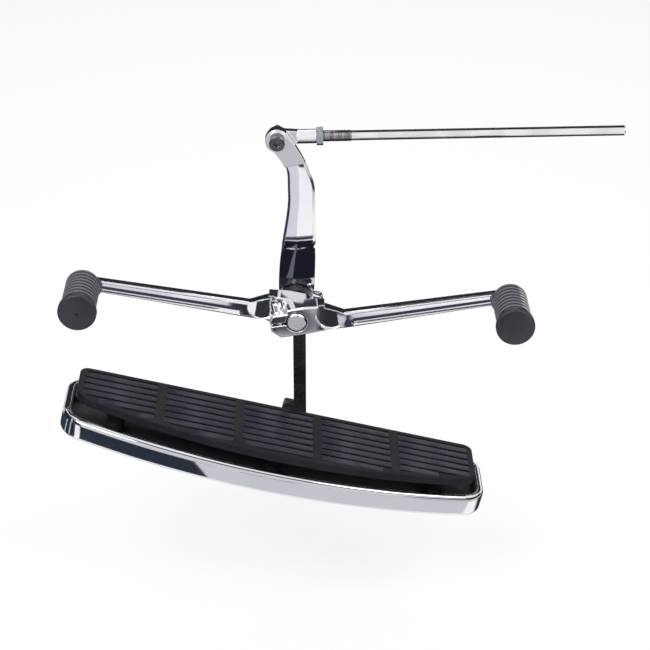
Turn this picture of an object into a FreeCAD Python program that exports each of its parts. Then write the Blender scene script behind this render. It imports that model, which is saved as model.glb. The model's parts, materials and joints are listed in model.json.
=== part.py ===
import FreeCAD, Part
import math
import os
from FreeCAD import Vector

os.makedirs("parts", exist_ok=True)

# Frame: the origin is the middle of the rail's inner face, +Y into the bike, +X to the rear, +Z up.
pitch = 13.6              # the board and its rail lean down to the rear, degrees
runGap = 0.05             # radial running clearance of a pin or shaft
faceGap = 0.5             # side clearance between parts that move past each other
restGap = 0.3             # gap between the pan and the noses it rests on

# Rail, as long as the hinges need
railHeight = 30.0
railThick = 8.0
railCorner = 6.0
frameHoleDia = 10.5
frameHoleSpacing = 120.0

# Shaft and the place of its outer end
shaftX = 26.1
shaftZ = 132.8
shaftStandoff = 68.0      # from the rail's inner face to the shaft's outer end
shaftDia = 15.9
shaftLength = 64.5
shaftChamfer = 1.0

# Lever hubs, measured inwards from the shaft's outer end
heelHubStart = 1.0
hubWidth = 16.0
hubSpacing = 0.3
hubHalfHeight = 12.4
hubLugReach = 22.0
hubLugTop = 8.6
hubNeckStart = 21.0
hubRounding = 1.3
dishX = 29.2              # middle and radius of the flat pocket in the neck's face
dishZ = 2.0
dishRadius = 12.8
dishDepth = 2.6
dishRun = 8.0             # length of its slope up to the bar
pinchSlot = 2.6
boreChamfer = 1.2
pinchBoltX = 14.4
pinchBoltDia = 6.4
pinchHeadDia = 10.4
pinchHeadHeight = 8.0
pinchWasherDia = 13.0
washerThick = 1.4
socketFlats = 5.0
socketDepth = 3.5

# Lever bars
heelRise = 8.5
toeRise = 10.3
heelReach = 176.5
toeReach = 178.3
heelBarDrop = 5.4
toeBarDrop = 4.6
barNeckEnd = 40.0
barRootHeight = 14.0
barTipHeight = 10.4
barRootThick = 10.0
barTipThick = 9.0
barCorner = 1.8
barInset = 1.2            # bar face behind the hub face
fluteRadius = 5.0
fluteDepth = 1.2
fluteDrop = 2.0           # the groove's middle below the bar's middle
leverEyeRadius = 8.0
heelPegDrop = 5.2
toePegDrop = 4.0

# Pegs
pegBodyDia = 28.4
pegCapDia = 31.6
pegCapLength = 6.0
pegRidgePitch = 5.4
pegRidgeCount = 9
pegGroove = 1.3
pegCollarRadius = 10.0
pegCollarOffset = 8.5
pegCollarLength = 9.0
studDia = 11.0
studDepth = 44.0
studFlangeDia = 20.0
studFlangeThick = 2.0
pegScrewDia = 6.4
pegScrewHead = 11.0
pegScrewHeadHeight = 3.4
pegScrewGrip = 14.0

# Post with the shaft boss, measured inwards from the shaft's outer end
bushFlange = 1.2
bushFlangeDia = 24.0
bushDia = 20.0
bossDia = 26.5
bossLength = 10.8
postWidth = 10.8
postLeft = -3.1
postDepth = 10.0
postTopZ = -2.0
jogTopZ = -63.0
jogBottomZ = -86.0
postBevel = 3.0
footLeft = 7.5
footRight = 54.0
footTop = 12.0
footBottom = -14.0
tabTop = 32.0
tabRight = 26.0
footScrewInset = 8.0
footScrewDia = 8.0
footHeadDia = 12.6
footHeadHeight = 8.0

# Shift arm
armHubDia = 30.0
armHubLength = 13.8
armTopX = -14.8
armTopZ = 147.0
armEyeRadius = 9.7
armEyeFront = 35.0
armEyeThick = 6.0
armEar = 7.0
armPinchZ = -20.0
armSlope = (119.0, 132.5)  # height of the plate's slanted foot at its left and right
armPlateStep = 4.4
# Plate outline: share of the arm's height, left and right in X
plateFoot = (0.815, -7.4, 10.9)
plateWaist = (0.890, -12.6, 6.4)

# Arm sections: share of the arm's height, left, ridge and right in X, set back from the eye's face, depth
bladeRows = (
    (0.915, -13.4, -3.0, 3.0, 1.7, 4.2),
    (0.884, -11.4, 0.4, 6.6, 1.2, 5.6),
    (0.815, -7.4, 2.4, 10.9, 1.0, 7.5),
    (0.746, -6.6, 2.7, 14.6, 1.0, 9.5),
    (0.660, -6.4, 3.0, 16.0, 1.0, 11.0),
    (0.531, -8.0, 1.6, 16.3, 1.0, 11.0),
    (0.430, -10.4, 0.8, 16.3, 1.0, 11.0),
    (0.372, -11.7, 1.0, 16.2, 1.9, 10.0),
    (0.334, -12.2, 1.0, 16.0, 4.4, 9.0),
)
# Leg sections: share of the height, left and right in X, share of the lean inwards, depth, roundness
legRows = (
    (0.449, -7.0, 14.5, 0.32, 7.0, 2.6),
    (0.380, -11.2, 16.0, 0.30, 9.6, 2.6),
    (0.330, -12.3, 16.1, 0.32, 10.6, 2.6),
    (0.290, -13.0, 16.1, 0.37, 11.0, 2.6),
    (0.224, -13.9, 15.9, 0.53, 11.6, 2.6),
    (0.143, -14.6, 15.6, 0.72, 12.4, 2.6),
    (0.061, -14.9, 15.1, 0.90, 12.8, 2.4),
    (0.007, -14.6, 14.6, 0.97, 12.8, 2.2),
)

# Rod end, measured from the ball's middle
ballRadius = 5.9
ballWidth = 8.0
ballSeatGap = 0.3
rodEndRadius = 8.3
rodEndWidth = 6.0
rodShankDia = 11.8
rodShankStart = 19.0
rodShankEnd = 32.0
jamNutFlats = 14.0
jamNutThick = 5.4
threadDia = 8.7
threadEnd = 60.0
rodDia = 8.3
rodReach = 283.0
rodRise = 0.85
rodBoltDia = 6.4
rodHeadDia = 12.8
rodHeadHeight = 5.6
rodWasherDia = 16.6
rodNutFlats = 11.1
rodNutThick = 5.6

# Tread pad, in the board's own directions: along, across and up from the rail's middle
padTop = 44.0
padThick = 7.0
padFar = -48.0
padNear = -129.0
padHalf = 171.2
bowRadius = 520.0
bowShift = 10.0
panBowShift = -2.0
panBowRadius = 565.0
rearMargin = 4.4          # the pan stands further out at its rear end
padFarCorner = 8.0
padNearCorner = 17.0
grooveWidth = 2.4
grooveDepth = 2.2
groovePitch = 9.9
grooveBorder = 5.0
bandWidth = 8.0
bandSpacing = 67.0
bandShift = 0.0
fieldCount = 5
plateThick = 1.6
plateInset = 7.0

# Pan
panMargin = 7.8
rimTop = 29.0
panHeight = 18.5
panWall = 5.6
panFloor = 3.0
panLip = 4.2
panInnerLip = 1.1
panHem = 2.4
linerThick = 1.2
linerDrop = 2.0

# Bumpers between the pan and the plate
bumperDia = 17.0
bumperWaist = 13.0
bumperNearInset = 15.0
bumperFarInset = 16.0
bumperAlong = (37.2 - padHalf, 0.0, padHalf - 31.2)
bumperScrewDia = 6.0
bumperHeadDia = 11.0
bumperHeadHeight = 3.0

# Hinges
hingeShare = 0.584        # of the pad's half length
hingeAlong = (-hingeShare * padHalf, hingeShare * padHalf)
hingeY = -30.0
hingeZ = 8.0
hingeEyeRadius = 7.0
hingePinDia = 8.0
tongueWidth = 14.0
earThick = 5.0
noseReach = -62.0
noseThick = 9.0
hingeBaseLength = 40.0
hingeBaseHeight = 26.0
hingeBaseThick = 6.0
hingeScrewSpread = 13.0
hingeScrewDia = 6.0
hingeHeadDia = 10.0
hingeHeadHeight = 6.0
pinHeadDia = 11.0
pinHeadThick = 2.0
pinTail = 4.0
clipThick = 1.0
clipDia = 12.0
clipGroove = 1.0
railLength = 2 * (hingeAlong[1] + hingeBaseLength / 2 + 5.0)

alongX = Vector(1, 0, 0)
alongY = Vector(0, 1, 0)
alongZ = Vector(0, 0, 1)
origin = Vector(0, 0, 0)


def roundBar(x, y, z, radius, length, direction=alongY):
    """A round bar from a point, along a direction."""
    return Part.makeCylinder(radius, length, Vector(x, y, z), direction)


def prism(points, direction, length):
    """A straight-sided solid from a list of corner points."""
    wire = Part.makePolygon(points + [points[0]])
    return Part.Face(wire).extrude(direction * length)


def hexPrism(centre, direction, flats, length):
    """A six-sided bar from a point, along a direction."""
    first = alongX if abs(direction.z) > 0.5 else alongZ
    second = direction.cross(first)
    radius = flats / math.sqrt(3.0)
    corners = []
    for step in range(6):
        turn = math.radians(60 * step)
        corners.append(centre + first * (radius * math.cos(turn)) + second * (radius * math.sin(turn)))
    return prism(corners, direction, length)


def atShaft(shape):
    """Moves a shape from the shaft end's own frame to the part's frame."""
    moved = shape.copy()
    moved.translate(Vector(shaftX, -shaftStandoff, shaftZ))
    return moved


def onBoard(shape):
    """Leans a shape from the board's own directions into the part's frame."""
    moved = shape.copy()
    moved.rotate(origin, alongY, pitch)
    return moved


def save(name, solids):
    shape = solids[0] if len(solids) == 1 else Part.makeCompound(solids)
    shape.exportStep("parts/%s.step" % name)
    print(name, "solids", len(shape.Solids), "valid", shape.isValid(), "volume", round(shape.Volume))


# Socket head screws point along their own direction, with the head's seat at the given point
def socketScrew(seat, direction, dia, length, headDia, headHeight):
    shank = Part.makeCylinder(dia / 2, length, seat, direction)
    head = Part.makeCylinder(headDia / 2, headHeight, seat - direction * headHeight, direction)
    rim = []
    for edge in head.Edges:
        far = (edge.CenterOfMass - seat).dot(direction) < -headHeight * 0.9
        if far and len(edge.Vertexes) == 1:
            rim.append(edge)
    head = head.makeChamfer(headHeight * 0.12, rim)
    socket = hexPrism(seat - direction * headHeight, direction, socketFlats, socketDepth)
    return shank.fuse(head.cut(socket)).removeSplitter()


# Rail with its frame holes and tapped holes
def mountRail():
    half = railLength / 2
    blank = Part.makeBox(railLength, railThick, railHeight, Vector(-half, -railThick, -railHeight / 2))
    corners = []
    for edge in blank.Edges:
        if abs(edge.tangentAt(edge.FirstParameter).y) > 0.9:
            corners.append(edge)
    rail = blank.makeFillet(railCorner, corners)
    for side in (-1, 1):
        hole = roundBar(side * frameHoleSpacing / 2, -railThick, 0, frameHoleDia / 2, railThick)
        rail = rail.cut(hole)
    for along in footScrewPlaces():
        rail = rail.cut(roundBar(along, -railThick, 0, footScrewDia / 2, railThick))
    for along in hingeScrewPlaces():
        rail = rail.cut(roundBar(along, -railThick, 0, hingeScrewDia / 2, railThick))
    return onBoard(rail)


def footScrewPlaces():
    return (footLeft + footScrewInset, footRight - footScrewInset)


def hingeScrewPlaces():
    places = []
    for along in hingeAlong:
        for side in (-1, 1):
            places.append(along + side * hingeScrewSpread)
    return places


def footScrews():
    screws = []
    for along in footScrewPlaces():
        seat = Vector(along, -railThick - postDepth, 0)
        screws.append(onBoard(socketScrew(seat, alongY, footScrewDia, postDepth + railThick,
                                          footHeadDia, footHeadHeight)))
    return screws


def hingeBracketScrews():
    screws = []
    for along in hingeScrewPlaces():
        seat = Vector(along, -railThick - hingeBaseThick, 0)
        screws.append(onBoard(socketScrew(seat, alongY, hingeScrewDia, hingeBaseThick + railThick,
                                          hingeHeadDia, hingeHeadHeight)))
    return screws


# Cast post: boss, straight neck, a step inwards, foot and tab
def shaftBracket():
    toeHubEnd = heelHubStart + 2 * hubWidth + hubSpacing
    bossStart = toeHubEnd + faceGap + bushFlange
    boss = roundBar(0, bossStart, 0, bossDia / 2, bossLength)
    neckFront = bossStart + (bossLength - postDepth) / 2
    footFront = shaftStandoff - railThick - postDepth
    bottomZ = -shaftZ
    side = [
        Vector(postLeft, neckFront, postTopZ),
        Vector(postLeft, neckFront, jogTopZ),
        Vector(postLeft, footFront, jogBottomZ),
        Vector(postLeft, footFront, bottomZ),
        Vector(postLeft, footFront + postDepth, bottomZ),
        Vector(postLeft, footFront + postDepth, jogBottomZ),
        Vector(postLeft, neckFront + postDepth, jogTopZ),
        Vector(postLeft, neckFront + postDepth, postTopZ),
    ]
    post = prism(side, alongX, postWidth)
    bends = []
    bevels = []
    for edge in post.Edges:
        middle = edge.CenterOfMass
        alongPost = abs(edge.tangentAt(edge.FirstParameter).x) > 0.9
        atBend = abs(middle.z - jogTopZ) < 1 or abs(middle.z - jogBottomZ) < 1
        if alongPost and atBend:
            bends.append(edge)
    post = post.makeFillet(postDepth * 0.6, bends)
    for edge in post.Edges:
        middle = edge.CenterOfMass
        onRight = middle.x > postLeft + postWidth - 0.01
        lengthwise = abs(edge.tangentAt(edge.FirstParameter).x) < 0.01
        face = footFront if middle.z < (jogTopZ + jogBottomZ) / 2 else neckFront
        if onRight and lengthwise and edge.Length > postDepth * 1.2 and middle.y < face + postDepth / 2:
            bevels.append(edge)
    post = atShaft(post.makeChamfer(postBevel, bevels))
    boss = atShaft(boss)
    footY = -railThick - postDepth
    foot = [
        Vector(footLeft, footY, footBottom),
        Vector(footRight, footY, footBottom),
        Vector(footRight, footY, footTop),
        Vector(tabRight, footY, footTop),
        Vector(tabRight, footY, tabTop),
        Vector(footLeft, footY, tabTop),
    ]
    plate = prism(foot, alongY, postDepth)
    rounded = []
    for edge in plate.Edges:
        across = abs(edge.tangentAt(edge.FirstParameter).y) > 0.9
        corner = edge.CenterOfMass
        inner = abs(corner.x - tabRight) < 0.1
        if across and not inner:
            rounded.append(edge)
    plate = plate.makeFillet(2.5, rounded)
    span = 2 * shaftZ
    limit = Part.makeBox(span, span, span, Vector(-span / 2, -span / 2, footBottom))
    body = boss.fuse([post.common(onBoard(limit)), onBoard(plate)]).removeSplitter()
    body = body.cut(atShaft(roundBar(0, bossStart, 0, bushDia / 2, bossLength)))
    for along in footScrewPlaces():
        body = body.cut(onBoard(roundBar(along, footY, 0, footScrewDia / 2, postDepth)))
    return body


def bushing(inner):
    toeHubEnd = heelHubStart + 2 * hubWidth + hubSpacing
    bossStart = toeHubEnd + faceGap + bushFlange
    bossEnd = bossStart + bossLength
    half = bossLength / 2 - faceGap / 2
    if inner:
        sleeve = roundBar(0, bossEnd - half, 0, bushDia / 2, half)
        flange = roundBar(0, bossEnd, 0, bushFlangeDia / 2, bushFlange)
    else:
        sleeve = roundBar(0, bossStart, 0, bushDia / 2, half)
        flange = roundBar(0, bossStart - bushFlange, 0, bushFlangeDia / 2, bushFlange)
    ring = sleeve.fuse(flange).removeSplitter()
    bore = roundBar(0, 0, 0, shaftDia / 2 + runGap, shaftStandoff)
    return atShaft(ring.cut(bore))


# Levers are drawn with the bar along +X and turned to their side afterwards
def barSection(along, front, thick, middle, height):
    low = middle - height / 2
    high = middle + height / 2
    back = front + thick
    r = barCorner
    s = r * (1 - math.sqrt(0.5))
    edges = [
        Part.makeLine(Vector(along, front, low + r), Vector(along, front, high - r)),
        Part.Arc(Vector(along, front, high - r), Vector(along, front + s, high - s),
                 Vector(along, front + r, high)).toShape(),
        Part.makeLine(Vector(along, front + r, high), Vector(along, back - r, high)),
        Part.Arc(Vector(along, back - r, high), Vector(along, back - s, high - s),
                 Vector(along, back, high - r)).toShape(),
        Part.makeLine(Vector(along, back, high - r), Vector(along, back, low + r)),
        Part.Arc(Vector(along, back, low + r), Vector(along, back - s, low + s),
                 Vector(along, back - r, low)).toShape(),
        Part.makeLine(Vector(along, back - r, low), Vector(along, front + r, low)),
        Part.Arc(Vector(along, front + r, low), Vector(along, front + s, low + s),
                 Vector(along, front, low + r)).toShape(),
    ]
    return Part.Wire(edges)


def leverHub(front):
    top = hubHalfHeight
    outline = [
        Vector(-hubLugReach, front, -5.5),
        Vector(-hubLugReach, front, hubLugTop - 3.5),
        Vector(-hubLugReach + 3.5, front, hubLugTop),
        Vector(-pinchBoltX + pinchWasherDia / 2 + 0.6, front, hubLugTop),
        Vector(-pinchBoltX + pinchWasherDia / 2 + 1.6, front, top - 0.4),
        Vector(8.0, front, top),
        Vector(hubNeckStart + 4.0, front, top - 1.6),
        Vector(hubNeckStart + 2.0, front, -top + 1.0),
        Vector(2.0, front, -top - 0.2),
        Vector(-hubLugReach + 7.0, front, -top),
    ]
    block = prism(outline, alongY, hubWidth)
    rim = []
    for edge in block.Edges:
        if edge.CenterOfMass.y < front + 0.01:
            rim.append(edge)
    return block.makeFillet(hubRounding, rim)


def lever(front, rise, reach, barDrop, pegDrop, facing):
    hub = leverHub(front)
    barFront = front + barInset
    back = front + hubWidth
    root = barSection(hubNeckStart, front + 0.9, hubWidth - 1.8, -0.6, 2 * hubHalfHeight - 3.4)
    waist = barSection(barNeckEnd, barFront, barRootThick, -barDrop, barRootHeight)
    tip = barSection(reach - 4.0, barFront, barTipThick, -barDrop, barTipHeight)
    neck = Part.makeLoft([root, waist], True, True)
    bar = Part.makeLoft([waist, tip], True, True)
    eye = roundBar(reach, barFront, -pegDrop, leverEyeRadius, barTipThick)
    body = hub.fuse([neck, bar, eye])
    fluteStart = barNeckEnd - 1.0
    fluteTip = 8.0
    fluteY = barFront - fluteRadius + fluteDepth
    fluteZ = -barDrop - fluteDrop
    cone = Part.makeCone(0.4, fluteRadius, fluteTip, Vector(fluteStart, barFront - 0.2, fluteZ), alongX)
    groove = roundBar(fluteStart + fluteTip, fluteY, fluteZ, fluteRadius, reach, alongX)
    blend = cone.copy()
    blend.translate(Vector(0, fluteDepth - fluteRadius + 0.2, 0))
    body = body.cut(groove.fuse(blend))
    dishEnd = dishX + dishRadius
    pocket = [
        Vector(dishX - dishRadius - 1, front - 1, dishZ - dishRadius),
        Vector(dishX - dishRadius - 1, front + dishDepth, dishZ - dishRadius),
        Vector(dishEnd - dishRun, front + dishDepth, dishZ - dishRadius),
        Vector(dishEnd, barFront - 0.1, dishZ - dishRadius),
        Vector(dishEnd, front - 1, dishZ - dishRadius),
    ]
    bore = roundBar(dishX, front - 1, dishZ, dishRadius, dishDepth + 1)
    dish = prism(pocket, alongZ, 2 * dishRadius).common(bore)
    body = body.cut(dish)
    body = body.cut(roundBar(0, front, 0, shaftDia / 2, hubWidth))
    mouth = Part.makeCone(shaftDia / 2 + boreChamfer, shaftDia / 2, boreChamfer, Vector(0, front, 0), alongY)
    body = body.cut(mouth)
    slot = Part.makeBox(hubLugReach, hubWidth, pinchSlot,
                        Vector(-hubLugReach - 1.0, front, -pinchSlot / 2))
    body = body.cut(slot)
    mid = (front + back) / 2
    hole = roundBar(-pinchBoltX, mid, -2 * hubHalfHeight, pinchBoltDia / 2, 4 * hubHalfHeight, alongZ)
    body = body.cut(hole)
    body = body.cut(roundBar(reach, barFront, -pegDrop, pegScrewDia / 2, barTipThick))
    return turnLever(body, rise, facing)


def turnLever(shape, rise, facing):
    if facing < 0:
        shape = shape.mirror(origin, alongX)
    turned = shape.copy()
    turned.rotate(origin, alongY, -facing * rise)
    return atShaft(turned)


def pinchBolt(front, rise, facing):
    mid = front + hubWidth / 2
    seat = Vector(-pinchBoltX, mid, hubLugTop + washerThick)
    bolt = socketScrew(seat, -alongZ, pinchBoltDia, washerThick + hubLugTop + hubHalfHeight - 1.5,
                       pinchHeadDia, pinchHeadHeight)
    return turnLever(bolt, rise, facing)


def pinchWasher(front, rise, facing):
    mid = front + hubWidth / 2
    disc = roundBar(-pinchBoltX, mid, hubLugTop, pinchWasherDia / 2, washerThick, alongZ)
    hole = roundBar(-pinchBoltX, mid, hubLugTop, pinchBoltDia / 2, washerThick, alongZ)
    return turnLever(disc.cut(hole), rise, facing)


# Peg sleeve, a turned profile with sharp ridges, a domed cap and a collar round the lever's end
def pegRubber(front, rise, reach, barDrop, pegDrop, facing):
    root = front + barInset
    crest = pegBodyDia / 2
    valley = crest - pegGroove
    capRadius = pegCapDia / 2
    half = pegRidgePitch / 2
    profile = [Vector(0, root, 0), Vector(valley, root, 0)]
    y = root
    for ridge in range(pegRidgeCount):
        profile.append(Vector(crest, y - half * 0.5, 0))
        profile.append(Vector(crest, y - half * 1.3, 0))
        profile.append(Vector(valley, y - half * 1.75, 0))
        y = y - pegRidgePitch
        profile.append(Vector(valley, y, 0))
    end = y - pegCapLength
    profile.append(Vector(capRadius, y - 0.6, 0))
    profile.append(Vector(capRadius, end + 1.6, 0))
    profile.append(Vector(capRadius - 1.6, end, 0))
    profile.append(Vector(0, end, 0))
    wire = Part.makePolygon(profile + [profile[0]])
    sleeve = Part.Face(wire).revolve(origin, alongY, 360)
    collar = roundBar(-pegCollarOffset, root - pegCollarLength, 0, pegCollarRadius, pegCollarLength)
    sleeve = sleeve.fuse(collar)
    sleeve = sleeve.cut(roundBar(0, root - studFlangeThick, 0, studFlangeDia / 2, studFlangeThick))
    sleeve = sleeve.cut(roundBar(0, root - studDepth, 0, studDia / 2, studDepth))
    dimple = Part.makeSphere(1.4, Vector(0, end - 0.6, -1.2))
    sleeve = sleeve.cut(dimple)
    sleeve.translate(Vector(reach, 0, -pegDrop))
    return turnLever(sleeve, rise, facing)


def pegStud(front, rise, reach, barDrop, pegDrop, facing):
    root = front + barInset
    stud = roundBar(0, root - studDepth, 0, studDia / 2, studDepth)
    stud = stud.fuse(roundBar(0, root - studFlangeThick, 0, studFlangeDia / 2, studFlangeThick))
    stud = stud.removeSplitter()
    stud = stud.cut(roundBar(0, root - pegScrewGrip, 0, pegScrewDia / 2, pegScrewGrip))
    stud.translate(Vector(reach, 0, -pegDrop))
    return turnLever(stud, rise, facing)


def pegScrew(front, rise, reach, barDrop, pegDrop, facing):
    seatY = front + barInset + barTipThick
    screw = socketScrew(Vector(reach, seatY, -pegDrop), -alongY, pegScrewDia,
                        barTipThick + pegScrewGrip, pegScrewHead, pegScrewHeadHeight + 1.6)
    return turnLever(screw, rise, facing)


def shiftShaft():
    bar = roundBar(0, 0, 0, shaftDia / 2, shaftLength)
    ends = []
    for edge in bar.Edges:
        if len(edge.Vertexes) == 1:
            ends.append(edge)
    return atShaft(bar.makeChamfer(shaftChamfer, ends))


# Shift arm: eye plate at the top, faceted blade, rounded leg that leans in to the clamp hub
def armPlate():
    footZ = plateFoot[0] * armTopZ
    waistZ = plateWaist[0] * armTopZ
    footLeftEnd = Vector(plateFoot[1], armEyeFront, footZ)
    footRightEnd = Vector(plateFoot[2], armEyeFront, footZ)
    topLeftEnd = Vector(armTopX - 0.82 * armEyeRadius, armEyeFront, armTopZ - 0.46 * armEyeRadius)
    topRightEnd = Vector(armTopX + 0.78 * armEyeRadius, armEyeFront, armTopZ + 0.54 * armEyeRadius)
    left = Part.Arc(footLeftEnd, Vector(plateWaist[1], armEyeFront, waistZ), topLeftEnd).toShape()
    right = Part.Arc(topRightEnd, Vector(plateWaist[2], armEyeFront, waistZ), footRightEnd).toShape()
    top = Part.makeLine(topLeftEnd, topRightEnd)
    foot = Part.makeLine(footRightEnd, footLeftEnd)
    plate = Part.Face(Part.Wire([left, top, right, foot])).extrude(alongY * armEyeThick)
    below = armSlope[0] - armEyeThick * 2
    span = armHubDia * 1.33
    slope = [
        Vector(-span, armEyeFront - 1, below),
        Vector(-span, armEyeFront - 1, armSlope[0]),
        Vector(span, armEyeFront - 1, armSlope[1]),
        Vector(span, armEyeFront - 1, below),
    ]
    plate = plate.cut(prism(slope, alongY, 1 + armPlateStep))
    eye = roundBar(armTopX, armEyeFront, armTopZ, armEyeRadius, armEyeThick)
    return plate.fuse(eye).removeSplitter()


def bladeSection(z, left, ridge, right, front, deep):
    points = [
        Vector(left + 0.6, front + deep, z),
        Vector(left, front + 4.2, z),
        Vector(left + 2.0, front + 1.5, z),
        Vector(ridge, front, z),
        Vector(right - 2.0, front + 1.8, z),
        Vector(right, front + 4.2, z),
        Vector(right - 0.6, front + deep, z),
    ]
    return Part.makePolygon(points + [points[0]])


def armBlade():
    sections = []
    for share, left, ridge, right, setBack, deep in bladeRows:
        sections.append(bladeSection(share * armTopZ, left, ridge, right, armEyeFront + setBack, deep))
    return Part.makeLoft(sections, True, False)


def legSection(z, left, right, front, deep, bulge):
    middle = (left + right) / 2
    back = front + deep
    edges = [
        Part.Arc(Vector(left, front + bulge, z), Vector(middle, front, z),
                 Vector(right, front + bulge, z)).toShape(),
        Part.makeLine(Vector(right, front + bulge, z), Vector(right, back, z)),
        Part.makeLine(Vector(right, back, z), Vector(left, back, z)),
        Part.makeLine(Vector(left, back, z), Vector(left, front + bulge, z)),
    ]
    return Part.Wire(edges)


def armLeg():
    lean = armHubStart() - armEyeFront
    sections = []
    for share, left, right, setBack, deep, bulge in legRows:
        sections.append(legSection(share * armTopZ, left, right, armEyeFront + setBack * lean, deep, bulge))
    return Part.makeLoft(sections, True, False)


def armHubStart():
    toeHubEnd = heelHubStart + 2 * hubWidth + hubSpacing
    return toeHubEnd + 2 * bushFlange + bossLength + 2 * faceGap


def shiftArm():
    hubStart = armHubStart()
    hub = roundBar(0, hubStart, 0, armHubDia / 2, armHubLength)
    ear = Part.makeBox(2 * armEar, armHubLength - 2.0, 14.0, Vector(-armEar, hubStart + 1.0, armPinchZ - 5.0))
    body = hub.fuse([ear, armLeg(), armBlade(), armPlate()])
    body = body.cut(roundBar(0, hubStart - 8.0, 0, shaftDia / 2, armHubLength + 16.0))
    clearance = roundBar(0, hubStart - 20.0, 0, bossDia / 2 + 1.0, 20.0)
    body = body.cut(clearance)
    body = body.cut(Part.makeBox(pinchSlot, armHubLength, 30.0, Vector(-pinchSlot / 2, hubStart, -30.0)))
    mid = hubStart + armHubLength / 2
    body = body.cut(roundBar(-armEar, mid, armPinchZ, pinchBoltDia / 2, 2 * armEar, alongX))
    body = body.cut(roundBar(armTopX, armEyeFront, armTopZ, rodBoltDia / 2, armEyeThick))
    return atShaft(body)


def armPinchBolt():
    mid = armHubStart() + armHubLength / 2
    seat = Vector(armEar, mid, armPinchZ)
    return atShaft(socketScrew(seat, -alongX, pinchBoltDia, 2 * armEar + 1.0, pinchHeadDia, 6.0))


# Linkage joint at the arm's eye
def ballY():
    return armEyeFront + armEyeThick + ballWidth / 2


def rodBall():
    sphere = Part.makeSphere(ballRadius, Vector(armTopX, ballY(), armTopZ))
    slab = Part.makeBox(4 * ballRadius, ballWidth, 4 * ballRadius,
                        Vector(armTopX - 2 * ballRadius, ballY() - ballWidth / 2, armTopZ - 2 * ballRadius))
    ball = sphere.common(slab)
    return atShaft(ball.cut(roundBar(armTopX, 0, armTopZ, rodBoltDia / 2, shaftStandoff)))


def rodBolt():
    seat = Vector(armTopX, armEyeFront - washerThick, armTopZ)
    length = 2 * washerThick + armEyeThick + ballWidth + rodNutThick
    return atShaft(socketScrew(seat, alongY, rodBoltDia, length, rodHeadDia, rodHeadHeight))


def rodWashers():
    washers = []
    for start in (armEyeFront - washerThick, armEyeFront + armEyeThick + ballWidth):
        radius = rodWasherDia / 2 if start < armEyeFront else ballRadius * 0.8
        disc = roundBar(armTopX, start, armTopZ, radius, washerThick)
        washers.append(atShaft(disc.cut(roundBar(armTopX, start, armTopZ, rodBoltDia / 2, washerThick))))
    return washers


def rodNut():
    start = armEyeFront + armEyeThick + ballWidth + washerThick
    nut = hexPrism(Vector(armTopX, start, armTopZ), alongY, rodNutFlats, rodNutThick)
    return atShaft(nut.cut(roundBar(armTopX, start, armTopZ, rodBoltDia / 2, rodNutThick)))


def onRod(shape):
    """Moves a shape drawn along +X from the ball's middle to the rod's line."""
    moved = shape.copy()
    moved.rotate(origin, alongY, -rodRise)
    moved.translate(Vector(armTopX, ballY(), armTopZ))
    return atShaft(moved)


def rodEnd():
    half = rodEndWidth / 2
    eye = roundBar(0, -half, 0, rodEndRadius, rodEndWidth)
    taper = Part.makeLoft([barWire(0.6 * rodEndRadius, rodEndWidth, 1.5 * rodEndRadius),
                           barWire(rodShankStart - 2.0, rodEndWidth, 0.9 * rodShankDia)], True, True)
    shank = roundBar(rodShankStart - 2.5, 0, 0, rodShankDia / 2, rodShankEnd - rodShankStart + 2.5, alongX)
    body = eye.fuse([taper, shank])
    seat = Part.makeSphere(ballRadius + ballSeatGap, origin)
    body = body.cut(seat)
    grip = rodShankEnd - rodShankStart
    body = body.cut(roundBar(rodShankEnd - grip, 0, 0, threadDia / 2, grip, alongX))
    return onRod(body)


def barWire(along, wide, tall):
    points = [
        Vector(along, -wide / 2, -tall / 2),
        Vector(along, wide / 2, -tall / 2),
        Vector(along, wide / 2, tall / 2),
        Vector(along, -wide / 2, tall / 2),
    ]
    return Part.makePolygon(points + [points[0]])


def jamNut():
    nut = hexPrism(Vector(rodShankEnd, 0, 0), alongX, jamNutFlats, jamNutThick)
    ball = Part.makeSphere(jamNutFlats * 0.605, Vector(rodShankEnd + jamNutThick / 2, 0, 0))
    nut = nut.common(ball)
    return onRod(nut.cut(roundBar(rodShankEnd, 0, 0, threadDia / 2, jamNutThick, alongX)))


def shiftRod():
    start = rodShankStart + 1.0
    thread = roundBar(start, 0, 0, threadDia / 2, threadEnd - start, alongX)
    rod = roundBar(threadEnd, 0, 0, rodDia / 2, rodReach - threadEnd, alongX)
    body = thread.fuse(rod).removeSplitter()
    tail = []
    for edge in body.Edges:
        if edge.CenterOfMass.x > rodReach - 0.1 and len(edge.Vertexes) == 1:
            tail.append(edge)
    return onRod(body.makeChamfer(0.8, tail))


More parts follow.
